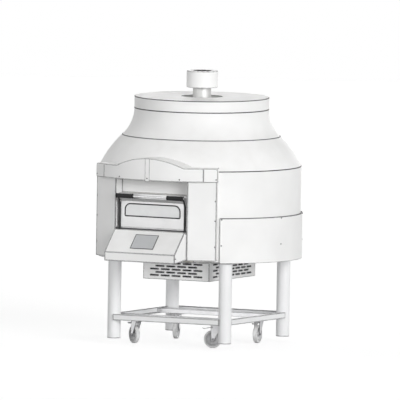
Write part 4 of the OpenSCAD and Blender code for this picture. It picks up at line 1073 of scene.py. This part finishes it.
# %% Hinge rod
low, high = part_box("hinge_rod")
reach = high.x
rod_outline = [(0.0, -reach), (0.0108, -reach), (0.0120, -reach + 0.0008)]
rod_outline += [(0.0120, -reach + 0.0030), (0.0060, -reach + 0.0030)]
rod = turned("rod", rod_outline + [(r, -z) for r, z in reversed(rod_outline)], 36)
stand_for(rod, "hinge_rod", 0.0003, 1, Matrix.Translation((low + high) / 2) @ across)

# %% [markdown]
# ## The display
# The display is a dark moulded frame on the console's slope, with a pale screen set into it. Both keep
# their nodes' outlines. The frame gets a generous radius.

# %% Display
dress_all({"display_bezel": 0.0016}, 3)
dress_all({"display_screen": 0.0008})

# %% [markdown]
# ## Inside the drum
# Through the open door the hearth, the bricks round the mouth and the vault over it are in view.
# Stones and bricks have crumbled edges with a radius of 1 to 2 mm. So each block is rounded a little,
# which also draws the joints between them.

# %% Stones, bricks and machinery
dress_all({
    "hearth_stones": 0.0020, "mouth_lining": 0.0018, "wall_bricks": 0.0016, "dome_bricks": 0.0016,
    "gear_motor": 0.0015, "bearing_housing": 0.0015, "cable_gland": 0.0006, "burner": 0.0008,
    "ring_gear": 0.0006, "pinion": 0.0005, "turntable_frame": 0.0012}, 1)

# %% [markdown]
# ## Camera
# In the picture, a parallel view, near things look no larger than far ones. So the camera is
# orthographic, 27 degrees to the right of the front and slightly above. It aims at the middle of the
# drum's axis, and leans by a degree. A pixel of the picture is 9 mm.

# %% Camera
def direction(around, up):
    """The way to a place that lies round from the front, and up from the floor, by two angles."""
    return Vector((sin(around) * cos(up), -cos(around) * cos(up), sin(up)))


azimuth, elevation, lean = radians(27.2), radians(4.4), radians(0.9)
AIM_HEIGHT, DISTANCE = 1.291, 9
to_camera = direction(azimuth, elevation)
bpy.ops.object.camera_add()
camera = bpy.context.object
camera.data.type = "ORTHO"
camera.data.ortho_scale = 400 * 0.009
camera.data.clip_end = 40
turn = to_camera.to_track_quat("Z", "Y").to_matrix().to_4x4() @ Matrix.Rotation(lean, 4, "Z")
aim = Vector((0, AXIS_Y, AIM_HEIGHT)) - turn.col[0].to_3d() * 0.003
camera.matrix_world = Matrix.Translation(aim + to_camera * DISTANCE) @ turn
bpy.context.scene.camera = camera
print("camera at", [round(v, 3) for v in camera.location])

# %% [markdown]
# ## Floor, world and lamps
# The floor is a wide pale plane that takes the oven's shadow. To the camera it also glows a little,
# which lifts the lit floor to white and leaves the shadow. The world is white to the camera, to mirrors
# and to glass, and a soft grey light to everything else.

# %% Floor and world
def seen_directly(tree):
    """One where the camera, a mirror or glass looks, and zero for other light."""
    path = add(tree, "LightPath")
    looks = sums(tree, "MAXIMUM", path.outputs["Is Camera Ray"], path.outputs["Is Glossy Ray"])
    return sums(tree, "MAXIMUM", looks, path.outputs["Is Transmission Ray"])


GLOW = 0.66
bpy.ops.mesh.primitive_plane_add(size=60)
floor = bpy.context.object
floor.name = "floor"
tree, shader = begin("pale_floor", {"Roughness": 0.9, "Specular IOR Level": 0.1})
tone = use(tree, mottle, size=0.5, detail=3.0)
pale = blend(tree, tone, (0.50, 0.50, 0.50), (0.49, 0.49, 0.49))
tree.links.new(pale, shader.inputs["Base Color"])
glow = add(tree, "Emission", {"Strength": sums(tree, "MULTIPLY", seen_directly(tree), GLOW)})
both = add(tree, "AddShader", {0: shader.outputs[0], 1: glow.outputs[0]})
tree.links.new(both.outputs[0], tree.nodes["Material Output"].inputs["Surface"])
floor.data.materials.append(finishes["pale_floor"])

AMBIENT = 0.20
world = bpy.data.worlds.new("soft room")
bpy.context.scene.world = world
world.use_nodes = True
tree = world.node_tree
strength = sums(tree, "ADD", sums(tree, "MULTIPLY", seen_directly(tree), 1.0 - AMBIENT), AMBIENT)
background = tree.nodes["Background"]
tree.links.new(strength, background.inputs["Strength"])
background.inputs["Color"].default_value = (1, 1, 1, 1)
print("floor and world")

# %% [markdown]
# The lamps are wide, soft suns. The key light comes from the right of the camera and leaves the left
# flank of each round form darker, a fill from the left keeps it from going black, and a light from
# above gives the pale tops. Three more light the flank and the back for other views.

# %% Lamps
def sun(name, side, height, strength, softness):
    """A soft sun at an angle to the camera's side and above the floor."""
    bpy.ops.object.light_add(type="SUN")
    lamp = bpy.context.object
    lamp.name = name
    lamp.data.energy = strength
    lamp.data.angle = radians(softness)
    toward = direction(azimuth + radians(side), radians(height))
    lamp.matrix_world = toward.to_track_quat("Z", "Y").to_matrix().to_4x4()


sun("key", 30, 12, 2.25, 30)
sun("fill", -45, 6, 0.95, 40)
sun("flank", 100, 25, 0.46, 35)
sun("back", -120, 40, 0.45, 35)
sun("rear", 172, 2, 0.60, 30)
sun("above", 5, 80, 0.24, 40)
bpy.context.scene.view_settings.view_transform = "Standard"
print("six lamps")
